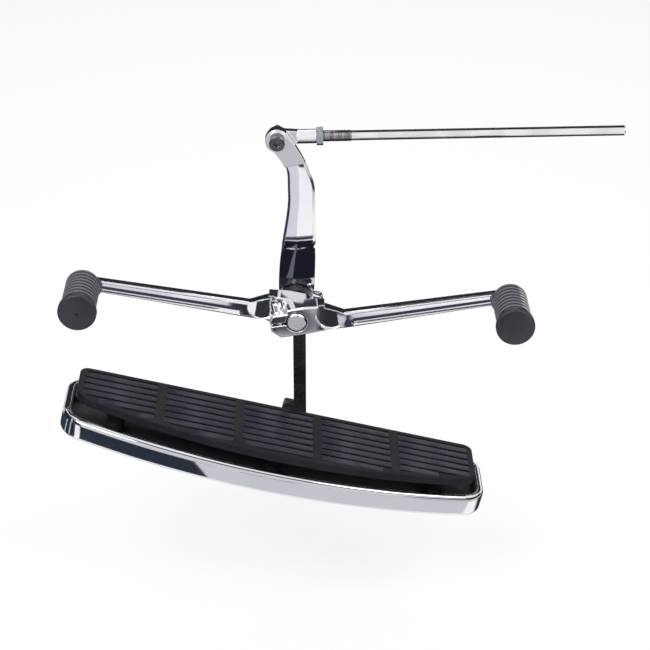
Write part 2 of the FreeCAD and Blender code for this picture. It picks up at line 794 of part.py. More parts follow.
# D-shaped outline of the pad, grown outwards by a margin
def boardPrism(margin, low, high, rearExtra=0.0, shift=bowShift, bow=bowRadius):
    far = padFar + margin
    near = padNear - margin
    front = -padHalf - margin
    rear = padHalf + margin + rearExtra
    radius = bow + margin

    def bowY(along):
        return near + radius - math.sqrt(radius ** 2 - (along - shift) ** 2)

    frontFar = Vector(front, far, low)
    rearFar = Vector(rear, far, low)
    rearNear = Vector(rear, bowY(rear), low)
    frontNear = Vector(front, bowY(front), low)
    nearArc = Part.Arc(rearNear, Vector(shift, near, low), frontNear).toShape()
    wire = Part.Wire([
        Part.makeLine(frontFar, rearFar),
        Part.makeLine(rearFar, rearNear),
        nearArc,
        Part.makeLine(frontNear, frontFar),
    ])
    block = Part.Face(wire).extrude(alongZ * (high - low))
    farCorners = []
    nearCorners = []
    for edge in block.Edges:
        if abs(edge.tangentAt(edge.FirstParameter).z) > 0.9:
            if edge.CenterOfMass.y > far - 1:
                farCorners.append(edge)
            else:
                nearCorners.append(edge)
    block = block.makeFillet(max(padFarCorner + margin, 1.5), farCorners)
    nearCorners = []
    for edge in block.Edges:
        upright = abs(edge.tangentAt(edge.FirstParameter).z) > 0.9
        x = edge.CenterOfMass.x
        atEnd = abs(x - front) < 0.01 or abs(x - rear) < 0.01
        if upright and atEnd and edge.CenterOfMass.y < (bowY(rear) + far) / 2:
            nearCorners.append(edge)
    return block.makeFillet(max(padNearCorner + margin, 1.5), nearCorners)


def treadPad():
    pad = boardPrism(0, padTop - padThick, padTop)
    rim = []
    for edge in pad.Edges:
        if edge.CenterOfMass.z > padTop - 0.01:
            rim.append(edge)
    pad = pad.makeFillet(1.2, rim)
    pad = pad.cut(boardPrism(-plateInset, padTop - padThick, padTop - padThick + plateThick))
    inside = boardPrism(-grooveBorder, padTop - grooveDepth, padTop + 1)
    grooves = []
    count = int((padFar - padNear) / groovePitch)
    firstField = bandShift - bandSpacing * fieldCount / 2
    for field in range(fieldCount):
        start = firstField + field * bandSpacing + bandWidth / 2
        end = firstField + (field + 1) * bandSpacing - bandWidth / 2
        if field == 0:
            start = -padHalf
        if field == fieldCount - 1:
            end = padHalf
        for row in range(count):
            y = padFar - grooveBorder - row * groovePitch - grooveWidth
            grooves.append(Part.makeBox(end - start, grooveWidth, grooveDepth + 1,
                                        Vector(start, y, padTop - grooveDepth)))
    cuts = Part.makeCompound(grooves).common(inside)
    return onBoard(pad.cut(cuts))


def padPlate():
    low = padTop - padThick
    plate = boardPrism(-plateInset, low, low + plateThick)
    for x, y in bumperPlaces():
        plate = plate.cut(roundBar(x, y, low, bumperScrewDia / 2, plateThick, alongZ))
    return onBoard(plate)


def bumperPlaces():
    places = []
    for along in bumperAlong:
        sag = bowRadius - math.sqrt(bowRadius ** 2 - (along - bowShift) ** 2)
        places.append((along, padNear + sag + bumperNearInset))
        places.append((along, padFar - bumperFarInset))
    return places


def panBottom():
    return rimTop - panHeight


def padBumpers():
    low = panBottom() + panFloor + linerThick
    high = padTop - padThick
    bumpers = []
    for x, y in bumperPlaces():
        r = bumperDia / 2
        waist = bumperWaist / 2
        mid = (low + high) / 2
        profile = [
            Vector(0, 0, low), Vector(r, 0, low), Vector(r, 0, low + 3.0), Vector(waist, 0, mid),
            Vector(r, 0, high - 3.0), Vector(r, 0, high), Vector(0, 0, high),
        ]
        body = Part.Face(Part.makePolygon(profile + [profile[0]])).revolve(origin, alongZ, 360)
        body = body.cut(roundBar(0, 0, low, bumperScrewDia / 2, high - low, alongZ))
        body.translate(Vector(x, y, 0))
        bumpers.append(onBoard(body))
    return bumpers


def bumperScrews():
    seatZ = panBottom()
    length = padTop - padThick + plateThick - seatZ
    screws = []
    for x, y in bumperPlaces():
        screws.append(onBoard(socketScrew(Vector(x, y, seatZ), alongZ, bumperScrewDia, length,
                                          bumperHeadDia, bumperHeadHeight + 1.5)))
    return screws


def rimEdges(tray, height, outer):
    """Edges of the tray at one height, on its outer or inner loop."""
    found = []
    level = [e for e in tray.Edges if abs(e.CenterOfMass.z - height) < 0.01 and e.BoundBox.ZLength < 0.01]
    for face in tray.Faces:
        if face.BoundBox.ZLength > 0.01 or abs(face.CenterOfMass.z - height) > 0.01:
            continue
        wires = sorted(face.Wires, key=lambda w: w.BoundBox.DiagonalLength)
        chosen = wires[-1] if outer else wires[0]
        for edge in level:
            for candidate in chosen.Edges:
                if edge.isSame(candidate):
                    found.append(edge)
    return found


# Pan: a tray with a rounded lip and two pairs of hinge ears below its far side
def floorboardPan():
    low = panBottom()
    block = boardPrism(panMargin, low, rimTop, rearMargin, panBowShift, panBowRadius)
    inner = panMargin - panWall
    hollow = boardPrism(inner, low + panFloor, rimTop, rearMargin, panBowShift, panBowRadius)
    tray = block.cut(hollow)
    tray = tray.makeFillet(panLip, rimEdges(tray, rimTop, True))
    tray = tray.makeFillet(panInnerLip, rimEdges(tray, rimTop, False))
    tray = tray.makeFillet(panHem, rimEdges(tray, low, True))
    for along in hingeAlong:
        for side in (-1, 1):
            earInner = tongueWidth / 2 + faceGap
            start = along + earInner if side > 0 else along - earInner - earThick
            tray = tray.fuse(hingeEar(start))
    tray = tray.removeSplitter()
    for x, y in bumperPlaces():
        tray = tray.cut(roundBar(x, y, low, bumperScrewDia / 2, panFloor, alongZ))
    for along in hingeAlong:
        reach = tongueWidth / 2 + faceGap + earThick
        tray = tray.cut(roundBar(along - reach, hingeY, hingeZ, hingePinDia / 2, 2 * reach, alongX))
    return onBoard(tray)


# Liner: a thin tray over the pan's floor and inner walls
def panLiner():
    inner = panMargin - panWall
    low = panBottom() + panFloor
    top = rimTop - linerDrop
    tray = boardPrism(inner, low, top, rearMargin, panBowShift, panBowRadius)
    hollow = boardPrism(inner - linerThick, low + linerThick, top, rearMargin, panBowShift, panBowRadius)
    liner = tray.cut(hollow)
    for x, y in bumperPlaces():
        liner = liner.cut(roundBar(x, y, low, bumperScrewDia / 2, linerThick, alongZ))
    return onBoard(liner)


def hingeEar(start):
    low = panBottom()
    outer = padFar + panMargin
    points = [
        Vector(start, noseReach - 6.0, low + 1.0),
        Vector(start, noseReach + 4.0, low - 3.0),
        Vector(start, hingeY - 2.0, hingeZ - hingeEyeRadius),
        Vector(start, hingeY, hingeZ - hingeEyeRadius),
        Vector(start, hingeY, hingeZ + hingeEyeRadius),
        Vector(start, outer - 1.0, hingeZ + hingeEyeRadius + 5.0),
        Vector(start, outer - 1.0, low + 1.0),
    ]
    web = prism(points, alongX, earThick)
    return web.fuse(roundBar(start, hingeY, hingeZ, hingeEyeRadius, earThick, alongX)).removeSplitter()


# Bracket on the rail: base plate, tongue with the pin eye and a nose below the pan
def hingeBracket(along):
    baseY = -railThick - hingeBaseThick
    base = Part.makeBox(hingeBaseLength, hingeBaseThick, hingeBaseHeight,
                        Vector(along - hingeBaseLength / 2, baseY, -hingeBaseHeight / 2))
    corners = []
    for edge in base.Edges:
        if abs(edge.tangentAt(edge.FirstParameter).y) > 0.9:
            corners.append(edge)
    base = base.makeFillet(4.0, corners)
    start = along - tongueWidth / 2
    noseTop = panBottom() - restGap
    points = [
        Vector(start, baseY + 1.0, -hingeBaseHeight / 2 + 1.0),
        Vector(start, baseY + 1.0, hingeBaseHeight / 2 - 2.0),
        Vector(start, hingeY, hingeZ + hingeEyeRadius),
        Vector(start, hingeY - hingeEyeRadius, noseTop),
        Vector(start, noseReach, noseTop),
        Vector(start, noseReach, noseTop - noseThick * 0.6),
        Vector(start, hingeY - hingeEyeRadius, noseTop - noseThick * 1.4),
    ]
    tongue = prism(points, alongX, tongueWidth)
    body = base.fuse(tongue).removeSplitter()
    body = body.cut(roundBar(start, hingeY, hingeZ, hingePinDia / 2 + runGap, tongueWidth, alongX))
    for side in (-1, 1):
        body = body.cut(roundBar(along + side * hingeScrewSpread, baseY, 0, hingeScrewDia / 2, hingeBaseThick))
    return onBoard(body)


def hingePins():
    pins = []
    reach = tongueWidth / 2 + faceGap + earThick
    for along in hingeAlong:
        pin = roundBar(along - reach, hingeY, hingeZ, hingePinDia / 2, 2 * reach + pinTail, alongX)
        head = roundBar(along - reach - pinHeadThick, hingeY, hingeZ, pinHeadDia / 2, pinHeadThick, alongX)
        ring = roundBar(along + reach + restGap, hingeY, hingeZ, hingePinDia / 2 + 1, clipThick, alongX)
        core = roundBar(along + reach + restGap, hingeY, hingeZ, hingePinDia / 2 - clipGroove, clipThick, alongX)
        pins.append(onBoard(pin.fuse(head).removeSplitter().cut(ring.cut(core))))
    return pins


def pinClips():
    clips = []
    reach = tongueWidth / 2 + faceGap + earThick
    for along in hingeAlong:
        x = along + reach + restGap
        disc = roundBar(x, hingeY, hingeZ, clipDia / 2, clipThick, alongX)
        hole = roundBar(x, hingeY, hingeZ, hingePinDia / 2 - clipGroove, clipThick, alongX)
        mouth = Part.makeBox(clipThick, 2 * (hingePinDia / 2 - clipGroove), clipDia,
                             Vector(x, hingeY - hingePinDia / 2 + clipGroove, hingeZ - clipDia))
        clips.append(onBoard(disc.cut(hole).cut(mouth)))
    return clips


heelFront = heelHubStart
toeFront = heelHubStart + hubWidth + hubSpacing
heel = (heelFront, heelRise, heelReach, heelBarDrop, heelPegDrop, 1)
toe = (toeFront, toeRise, toeReach, toeBarDrop, toePegDrop, -1)

save("mount_rail", [mountRail()])
save("shaft_bracket", [shaftBracket()])
save("outer_bushing", [bushing(False)])
save("inner_bushing", [bushing(True)])
save("foot_screws", footScrews())
save("front_hinge_bracket", [hingeBracket(hingeAlong[0])])
save("rear_hinge_bracket", [hingeBracket(hingeAlong[1])])
save("hinge_bracket_screws", hingeBracketScrews())
save("floorboard_pan", [floorboardPan()])
save("pan_liner", [panLiner()])
save("tread_pad", [treadPad()])
save("pad_plate", [padPlate()])
save("pad_bumpers", padBumpers())
save("bumper_screws", bumperScrews())
save("hinge_pins", hingePins())
save("pin_clips", pinClips())
save("shift_shaft", [shiftShaft()])
save("heel_lever", [lever(*heel)])
save("toe_lever", [lever(*toe)])
save("heel_pinch_bolt", [pinchBolt(heelFront, heelRise, 1)])
save("toe_pinch_bolt", [pinchBolt(toeFront, toeRise, -1)])
save("pinch_washers", [pinchWasher(heelFront, heelRise, 1), pinchWasher(toeFront, toeRise, -1)])
save("heel_peg_rubber", [pegRubber(*heel)])
save("toe_peg_rubber", [pegRubber(*toe)])
save("heel_peg_stud", [pegStud(*heel)])
save("toe_peg_stud", [pegStud(*toe)])
save("peg_screws", [pegScrew(*heel), pegScrew(*toe)])
save("shift_arm", [shiftArm()])
save("arm_pinch_bolt", [armPinchBolt()])
save("rod_bolt", [rodBolt()])
save("rod_washers", rodWashers())
save("rod_nut", [rodNut()])
save("rod_ball", [rodBall()])
save("rod_end", [rodEnd()])
save("jam_nut", [jamNut()])
save("shift_rod", [shiftRod()])
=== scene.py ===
import json
import math
import bpy
import bmesh
from mathutils import Matrix, Vector


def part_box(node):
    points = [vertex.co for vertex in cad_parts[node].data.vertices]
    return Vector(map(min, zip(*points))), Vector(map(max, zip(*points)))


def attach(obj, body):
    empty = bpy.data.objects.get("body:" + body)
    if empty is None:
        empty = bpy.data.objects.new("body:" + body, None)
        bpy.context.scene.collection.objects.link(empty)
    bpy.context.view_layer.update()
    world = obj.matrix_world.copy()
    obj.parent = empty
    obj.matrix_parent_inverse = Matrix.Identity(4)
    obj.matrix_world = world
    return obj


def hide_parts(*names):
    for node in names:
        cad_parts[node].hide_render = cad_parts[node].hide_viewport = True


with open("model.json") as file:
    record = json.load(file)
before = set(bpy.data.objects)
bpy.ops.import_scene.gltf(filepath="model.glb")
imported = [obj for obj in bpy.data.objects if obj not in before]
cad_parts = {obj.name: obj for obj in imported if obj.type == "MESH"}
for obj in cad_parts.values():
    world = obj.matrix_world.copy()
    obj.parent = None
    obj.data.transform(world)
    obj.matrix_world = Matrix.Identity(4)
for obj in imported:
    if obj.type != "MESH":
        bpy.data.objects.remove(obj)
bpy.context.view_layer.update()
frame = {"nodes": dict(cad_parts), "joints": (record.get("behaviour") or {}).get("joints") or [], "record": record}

nodes = frame["nodes"]
joints = {joint["name"]: joint for joint in frame["joints"]}
scene = bpy.context.scene
boardLean = 13.6  # degrees, rear end down
print("frame loaded,", len(nodes), "nodes")

# Camera: long lens, above the board and looking down on it
cameraLook = {
    "place": (0.03219, -1.49721, 0.85907), "tilt": 63.0, "turn": -0.7,
    "lens": 107.446, "sensor": 36.0,
}
cameraData = bpy.data.cameras.new("mainCamera")
cameraData.lens = cameraLook["lens"]
cameraData.sensor_width = cameraLook["sensor"]
camera = bpy.data.objects.new("mainCamera", cameraData)
camera.location = cameraLook["place"]
camera.rotation_euler = (
    math.radians(cameraLook["tilt"]), 0.0, math.radians(cameraLook["turn"]))
scene.collection.objects.link(camera)
scene.camera = camera
scene.view_settings.view_transform = "Standard"
print("camera placed")


# Puts a plain value into a socket, or links another node's output to it
def feed(tree, socket, value):
    if isinstance(value, bpy.types.NodeSocket):
        tree.links.new(value, socket)
    else:
        socket.default_value = value


def addNode(tree, kind, given=None, **settings):
    node = tree.nodes.new(kind)
    for label, value in settings.items():
        setattr(node, label, value)
    for label, value in (given or {}).items():
        feed(tree, node.inputs[label], value)
    return node


def addMath(tree, operation, first, second=None, clamp=False):
    node = addNode(tree, "ShaderNodeMath", operation=operation, use_clamp=clamp)
    feed(tree, node.inputs[0], first)
    if second is not None:
        feed(tree, node.inputs[1], second)
    return node.outputs[0]


def addNoise(tree, scale, detail, stretch=None):
    vector = tree.nodes.new("ShaderNodeTexCoord").outputs["Object"]
    if stretch is not None:
        mapping = addNode(tree, "ShaderNodeMapping", {"Vector": vector, "Scale": stretch})
        vector = mapping.outputs["Vector"]
    noise = addNode(tree, "ShaderNodeTexNoise", {
        "Vector": vector, "Scale": scale, "Detail": detail})
    return noise.outputs["Fac"]


def addRange(tree, value, low, high, start=0.0, end=1.0):
    node = addNode(tree, "ShaderNodeMapRange", {
        "Value": value, "From Min": low, "From Max": high, "To Min": start, "To Max": end,
    }, interpolation_type="SMOOTHSTEP")
    return node.outputs["Result"]


# One between a rising and a falling edge, each given by its two limits
def addWindow(tree, value, rising, falling):
    low = addRange(tree, value, *rising)
    high = addRange(tree, value, *falling, 1.0, 0.0)
    return addMath(tree, "MULTIPLY", low, high)


def mixColour(tree, factor, first, second):
    node = addNode(tree, "ShaderNodeMix", data_type="RGBA")
    tree.links.new(factor, node.inputs[0])
    for socket, value in ((node.inputs[6], first), (node.inputs[7], second)):  # colours A and B
        feed(tree, socket, value + (1.0,) if isinstance(value, tuple) else value)
    return node.outputs[2]


# What the finishes share, each effect with the limits of its masks
effects = {
    "bevelSamples": 4, "turned": (0.004, 0.10), "wornPatch": (0.38, 0.62),
    "mottled": (0.35, 0.65), "facingUp": (0.3, 0.95), "dustPatch": (0.42, 0.68),
}


def makeGroup(name, inputs, outputs):
    group = bpy.data.node_groups.new(name, "ShaderNodeTree")
    sockets = group.interface
    for label, value in inputs.items():
        socket = sockets.new_socket(name=label, in_out="INPUT", socket_type="NodeSocketFloat")
        socket.default_value = value
    for label, kind in outputs.items():
        sockets.new_socket(name=label, in_out="OUTPUT", socket_type="NodeSocket" + kind)
    given = group.nodes.new("NodeGroupInput").outputs
    return group, given, group.nodes.new("NodeGroupOutput").inputs


# Edge wear: finds edges by the difference between the rounded and the true normal
def buildEdgeWear():
    tree, given, put = makeGroup(
        "edgeWear", {"Width": 0.0006, "Breakup": 260.0, "Amount": 1.0},
        {"Mask": "Float", "Rounded": "Vector"})
    bevel = addNode(tree, "ShaderNodeBevel", {"Radius": given["Width"]},
                    samples=effects["bevelSamples"])
    geometry = tree.nodes.new("ShaderNodeNewGeometry")
    dot = addNode(tree, "ShaderNodeVectorMath", operation="DOT_PRODUCT")
    tree.links.new(bevel.outputs["Normal"], dot.inputs[0])
    tree.links.new(geometry.outputs["Normal"], dot.inputs[1])
    turned = addMath(tree, "SUBTRACT", 1.0, dot.outputs["Value"], clamp=True)
    edge = addRange(tree, turned, *effects["turned"])
    patch = addRange(tree, addNoise(tree, given["Breakup"], detail=4.0), *effects["wornPatch"])
    mask = addMath(tree, "MULTIPLY", edge, patch)
    tree.links.new(addMath(tree, "MULTIPLY", mask, given["Amount"], clamp=True), put["Mask"])
    tree.links.new(bevel.outputs["Normal"], put["Rounded"])
    return tree


# Fine grain: cast, moulded or plated surface texture as a height
def buildFineGrain():
    tree, given, put = makeGroup(
        "fineGrain", {"Scale": 900.0, "Mottle": 120.0, "Mottle Share": 0.4},
        {"Height": "Float", "Mask": "Float"})
    fine = addNoise(tree, given["Scale"], detail=5.0)
    broad = addNoise(tree, given["Mottle"], detail=3.0)
    share = addMath(tree, "MULTIPLY", broad, given["Mottle Share"])
    tree.links.new(addMath(tree, "ADD", fine, share), put["Height"])
    tree.links.new(addRange(tree, broad, *effects["mottled"]), put["Mask"])
    return tree


# Dust and smudges: broad soft patches, the dust only on what faces up
def buildDustFilm():
    tree, given, put = makeGroup(
        "dustFilm", {"Scale": 22.0, "Amount": 0.5}, {"Mask": "Float", "Smudge": "Float"})
    geometry = tree.nodes.new("ShaderNodeNewGeometry")
    facing = addNode(tree, "ShaderNodeSeparateXYZ", {"Vector": geometry.outputs["Normal"]})
    upward = addRange(tree, facing.outputs["Z"], *effects["facingUp"])
    patch = addRange(tree, addNoise(tree, given["Scale"], detail=6.0), *effects["dustPatch"])
    dust = addMath(tree, "MULTIPLY", upward, patch)
    tree.links.new(addMath(tree, "MULTIPLY", dust, given["Amount"], clamp=True), put["Mask"])
    tree.links.new(addMath(tree, "MULTIPLY", patch, given["Amount"]), put["Smudge"])
    return tree


groups = {"edgeWear": buildEdgeWear(), "fineGrain": buildFineGrain(), "dustFilm": buildDustFilm()}


def useGroup(tree, name, given):
    node = addNode(tree, "ShaderNodeGroup", node_tree=groups[name], label=name)
    for label, value in given.items():
        node.inputs[label].default_value = value
    return node.outputs


def splitPlace(tree):
    place = tree.nodes.new("ShaderNodeTexCoord").outputs["Object"]
    return addNode(tree, "ShaderNodeSeparateXYZ", {"Vector": place}).outputs


# A dark line at one level of a leaning piece, painted shadow along the lip's seam, with a band
# below it toned grey as a painted reflection
def addSeamShade(tree, colour, seam):
    place = splitPlace(tree)
    lean, width = math.radians(seam["lean"]), seam["width"]
    level = addMath(tree, "ADD", addMath(tree, "MULTIPLY", place["X"], math.sin(lean)),
                    addMath(tree, "MULTIPLY", place["Z"], math.cos(lean)))
    top = seam["height"]
    foot = top - seam["below"]
    reflectionBand = addWindow(tree, level, (foot, foot + seam["footFade"]), (top, top + seam["topFade"]))
    colour = mixColour(tree, reflectionBand, colour, seam["reflectionTone"])
    away = addMath(tree, "ABSOLUTE", addMath(tree, "SUBTRACT", level, top))
    return mixColour(tree, addRange(tree, away, width / 2, width, 1.0, 0.0), colour, seam["dark"])


# A dark ring round the shaft's end: painted shade in the gap where the shaft meets the hub
def addJointShade(tree, colour, joint):
    place = splitPlace(tree)
    x, _, z = joints["shaft_turn"]["pos_m"]
    across = addMath(tree, "POWER", addMath(tree, "SUBTRACT", place["X"], x), 2.0)
    upward = addMath(tree, "POWER", addMath(tree, "SUBTRACT", place["Z"], z), 2.0)
    away = addMath(tree, "SQRT", addMath(tree, "ADD", across, upward))
    ring = addRange(tree, away, joint["radius"], joint["radius"] + joint["width"], 1.0, 0.0)
    return mixColour(tree, ring, colour, joint["dark"])


# Painted highlights on the crests, painted shade in the valleys and painted glints, read where
# the peg sleeves store them
def addPaintedRidgeLight(tree, colour, look):
    for name in ("crest", "valley", "glint"):
        mark = addNode(tree, "ShaderNodeAttribute", attribute_name=name)
        colour = mixColour(tree, mark.outputs["Fac"], colour, look[name])
    return colour


# One recipe for every finish: base and worn colour, roughness, grain, wear and dust
def makeFinish(name, look):
    finish = bpy.data.materials.new(name)
    finish.use_nodes = True
    tree = finish.node_tree
    shader = tree.nodes["Principled BSDF"].inputs
    shader["Metallic"].default_value = look["metal"]
    shader["Specular IOR Level"].default_value = look.get("specular", 0.5)
    if "coat" in look:
        shader["Coat Weight"].default_value, shader["Coat Roughness"].default_value = look["coat"]
    wear = useGroup(tree, "edgeWear", {
        "Width": look["edge"], "Breakup": look["breakup"], "Amount": look["wear"]})
    grain = useGroup(tree, "fineGrain", {
        "Scale": look["grain"], "Mottle": look["mottle"], "Mottle Share": look["mottleShare"]})
    dust = useGroup(tree, "dustFilm", {"Scale": look["dustScale"], "Amount": look["dust"]})

    colour = mixColour(tree, grain["Mask"], look["base"], look["shade"])
    # Painted shadow and reflection at a seam, painted shade round a shaft's end, and painted highlights, shade and
    # glints on ridges
    if "seam" in look:
        colour = addSeamShade(tree, colour, look["seam"])
    if "joint" in look:
        colour = addJointShade(tree, colour, look["joint"])
    if "crest" in look:
        colour = addPaintedRidgeLight(tree, colour, look)
    colour = mixColour(tree, wear["Mask"], colour, look["worn"])
    colour = mixColour(tree, dust["Mask"], colour, look["dustColour"])
    tree.links.new(colour, shader["Base Color"])

    rough = addRange(tree, grain["Mask"], 0.0, 1.0, *look["rough"])
    smudge = addMath(tree, "MULTIPLY", dust["Smudge"], look["smudge"])
    tree.links.new(addMath(tree, "ADD", rough, smudge, clamp=True), shader["Roughness"])

    height = grain["Height"]
    if "lines" in look:
        scale, stretch, share = look["lines"]
        lines = addMath(tree, "MULTIPLY", addNoise(tree, scale, 2.0, stretch), share)
        height = addMath(tree, "ADD", height, lines)
    bump = addNode(tree, "ShaderNodeBump", {
        "Height": height, "Strength": look["bump"], "Distance": look["depth"],
        "Normal": wear["Rounded"]})
    tree.links.new(bump.outputs["Normal"], shader["Normal"])
    return finish


# base and shade mix in the mottle, worn shows on edges, dustColour on what faces up. edge and
# depth are in metres, and breakup, grain, mottle and dustScale are noise scales
finishes = {
    "chrome": {
        "metal": 1.0, "base": (0.84, 0.85, 0.865), "shade": (0.80, 0.815, 0.84),
        "worn": (0.90, 0.91, 0.92), "wear": 0.5, "edge": 0.0010, "breakup": 90.0,
        "rough": (0.03, 0.05),
        "grain": 60.0, "mottle": 24.0, "mottleShare": 1.2, "bump": 0.006, "depth": 0.002,
        "dust": 0.10, "dustScale": 26.0, "smudge": 0.10, "dustColour": (0.62, 0.63, 0.65),
    },
    "brightSteel": {
        "metal": 1.0, "base": (0.68, 0.69, 0.71), "shade": (0.58, 0.59, 0.62),
        "worn": (0.82, 0.83, 0.85), "wear": 0.7, "edge": 0.0005, "breakup": 200.0,
        "rough": (0.22, 0.34),
        "grain": 1400.0, "mottle": 70.0, "mottleShare": 0.5, "bump": 0.10, "depth": 0.0004,
        "dust": 0.15, "dustScale": 40.0, "smudge": 0.15, "dustColour": (0.45, 0.44, 0.43),
        "lines": (220.0, (1.0, 8.0, 8.0), 1.2),
    },
    "rodSteel": {
        "metal": 1.0, "base": (0.84, 0.84, 0.85), "shade": (0.74, 0.725, 0.715),
        "worn": (0.88, 0.88, 0.89), "wear": 0.5, "edge": 0.0004, "breakup": 200.0,
        "rough": (0.05, 0.09),
        "grain": 700.0, "mottle": 50.0, "mottleShare": 0.5, "bump": 0.05, "depth": 0.0003,
        "dust": 0.10, "dustScale": 40.0, "smudge": 0.12, "dustColour": (0.40, 0.37, 0.36),
    },
    "threadSteel": {
        "metal": 1.0, "base": (0.17, 0.145, 0.145), "shade": (0.11, 0.09, 0.09),
        "worn": (0.26, 0.235, 0.235), "wear": 0.6, "edge": 0.0003, "breakup": 400.0,
        "rough": (0.20, 0.32),
        "grain": 1200.0, "mottle": 120.0, "mottleShare": 0.6, "bump": 0.10, "depth": 0.0003,
        "dust": 0.10, "dustScale": 60.0, "smudge": 0.12, "dustColour": (0.22, 0.19, 0.17),
    },
    "nutSteel": {
        "metal": 1.0, "base": (0.40, 0.42, 0.47), "shade": (0.30, 0.31, 0.36),
        "worn": (0.70, 0.71, 0.74), "wear": 0.7, "edge": 0.0005, "breakup": 300.0,
        "rough": (0.12, 0.22),
        "grain": 1200.0, "mottle": 120.0, "mottleShare": 0.5, "bump": 0.10, "depth": 0.0003,
        "dust": 0.12, "dustScale": 60.0, "smudge": 0.12, "dustColour": (0.30, 0.30, 0.31),
    },
    "zincScrews": {
        "metal": 1.0, "base": (0.62, 0.63, 0.66), "shade": (0.55, 0.55, 0.52),
        "worn": (0.78, 0.79, 0.80), "wear": 0.8, "edge": 0.0004, "breakup": 300.0,
        "rough": (0.26, 0.40),
        "grain": 1800.0, "mottle": 160.0, "mottleShare": 0.5, "bump": 0.15, "depth": 0.0003,
        "dust": 0.2, "dustScale": 60.0, "smudge": 0.15, "dustColour": (0.35, 0.33, 0.31),
    },
    "darkSteel": {
        "metal": 1.0, "base": (0.11, 0.11, 0.125), "shade": (0.07, 0.07, 0.085),
        "worn": (0.50, 0.51, 0.53), "wear": 0.9, "edge": 0.0004, "breakup": 400.0,
        "rough": (0.12, 0.22),
        "grain": 1500.0, "mottle": 200.0, "mottleShare": 0.4, "bump": 0.15, "depth": 0.0003,
        "dust": 0.1, "dustScale": 70.0, "smudge": 0.1, "dustColour": (0.25, 0.24, 0.23),
    },
    "blackCasting": {
        "metal": 0.0, "base": (0.010, 0.010, 0.012), "shade": (0.014, 0.014, 0.016),
        "worn": (0.10, 0.10, 0.105), "wear": 0.35, "edge": 0.0007, "breakup": 240.0,
        "rough": (0.22, 0.36), "specular": 0.22, "coat": (0.08, 0.12),
        "grain": 520.0, "mottle": 130.0, "mottleShare": 0.7, "bump": 0.55, "depth": 0.0009,
        "dust": 0.12, "dustScale": 50.0, "smudge": 0.15, "dustColour": (0.03, 0.03, 0.03),
    },
    "blackPaint": {
        "metal": 0.0, "base": (0.030, 0.031, 0.036), "shade": (0.038, 0.039, 0.045),
        "worn": (0.07, 0.07, 0.075), "wear": 0.3, "edge": 0.0005, "breakup": 260.0,
        "rough": (0.40, 0.55), "specular": 0.3,
        "grain": 900.0, "mottle": 90.0, "mottleShare": 0.6, "bump": 0.2, "depth": 0.0003,
        "dust": 0.10, "dustScale": 40.0, "smudge": 0.1, "dustColour": (0.03, 0.03, 0.03),
    },
    "treadRubber": {
        "metal": 0.0, "base": (0.007, 0.0075, 0.010), "shade": (0.011, 0.0115, 0.014),
        "worn": (0.026, 0.027, 0.031), "wear": 0.6, "edge": 0.0005, "breakup": 150.0,
        "rough": (0.46, 0.62), "specular": 0.14,
        "grain": 1300.0, "mottle": 60.0, "mottleShare": 0.5, "bump": 0.35, "depth": 0.0004,
        "dust": 0.20, "dustScale": 30.0, "smudge": 0.10, "dustColour": (0.026, 0.026, 0.028),
    },
    # The crowns' rubber, lighter and bluer than the pad's: painted sheen on the rib tops
    "ribRubberSheen": {
        "metal": 0.0, "base": (0.016, 0.018, 0.030), "shade": (0.022, 0.024, 0.037),
        "worn": (0.040, 0.042, 0.054), "wear": 0.5, "edge": 0.0004, "breakup": 150.0,
        "rough": (0.42, 0.58), "specular": 0.34,
        "grain": 1300.0, "mottle": 60.0, "mottleShare": 0.5, "bump": 0.35, "depth": 0.0004,
        "dust": 0.30, "dustScale": 30.0, "smudge": 0.10, "dustColour": (0.033, 0.033, 0.040),
    },
    "pegRubber": {
        "metal": 0.0, "base": (0.020, 0.020, 0.027), "shade": (0.025, 0.025, 0.033),
        "worn": (0.050, 0.050, 0.058), "wear": 0.5, "edge": 0.0005, "breakup": 180.0,
        "rough": (0.42, 0.56), "specular": 0.4,
        "grain": 1500.0, "mottle": 80.0, "mottleShare": 0.5, "bump": 0.30, "depth": 0.0003,
        "dust": 0.15, "dustScale": 60.0, "smudge": 0.08, "dustColour": (0.06, 0.06, 0.06),
        # The crest and glint colours are painted highlights, the valley colour is painted shade
        "crest": (0.135, 0.135, 0.165), "valley": (0.004, 0.004, 0.006),
        "glint": (0.80, 0.80, 0.82),
    },
    "bearingBronze": {
        "metal": 1.0, "base": (0.20, 0.14, 0.08), "shade": (0.13, 0.09, 0.055),
        "worn": (0.40, 0.28, 0.16), "wear": 0.6, "edge": 0.0004, "breakup": 260.0,
        "rough": (0.25, 0.38),
        "grain": 1200.0, "mottle": 150.0, "mottleShare": 0.5, "bump": 0.15, "depth": 0.0003,
        "dust": 0.15, "dustScale": 60.0, "smudge": 0.12, "dustColour": (0.20, 0.15, 0.10),
    },
}
# Painted shade in the gap round the heel shaft's end
heelJointShade = {"radius": 0.0086, "width": 0.0008, "dark": (0.02, 0.02, 0.025)}
# Painted shadow along the pan lip's seam, and a grey band below it as a painted reflection
panSeamShade = {
    "lean": boardLean, "height": 0.0277, "width": 0.0004, "dark": (0.03, 0.03, 0.04),
    "below": 0.0029, "reflectionTone": (0.58, 0.58, 0.61), "footFade": 0.0008, "topFade": 0.0003,
}
finishes["heelChromeJointShade"] = dict(finishes["chrome"], joint=heelJointShade)
finishes["panChromeSeamShade"] = dict(finishes["chrome"], seam=panSeamShade)
made = {name: makeFinish(name, look) for name, look in finishes.items()}

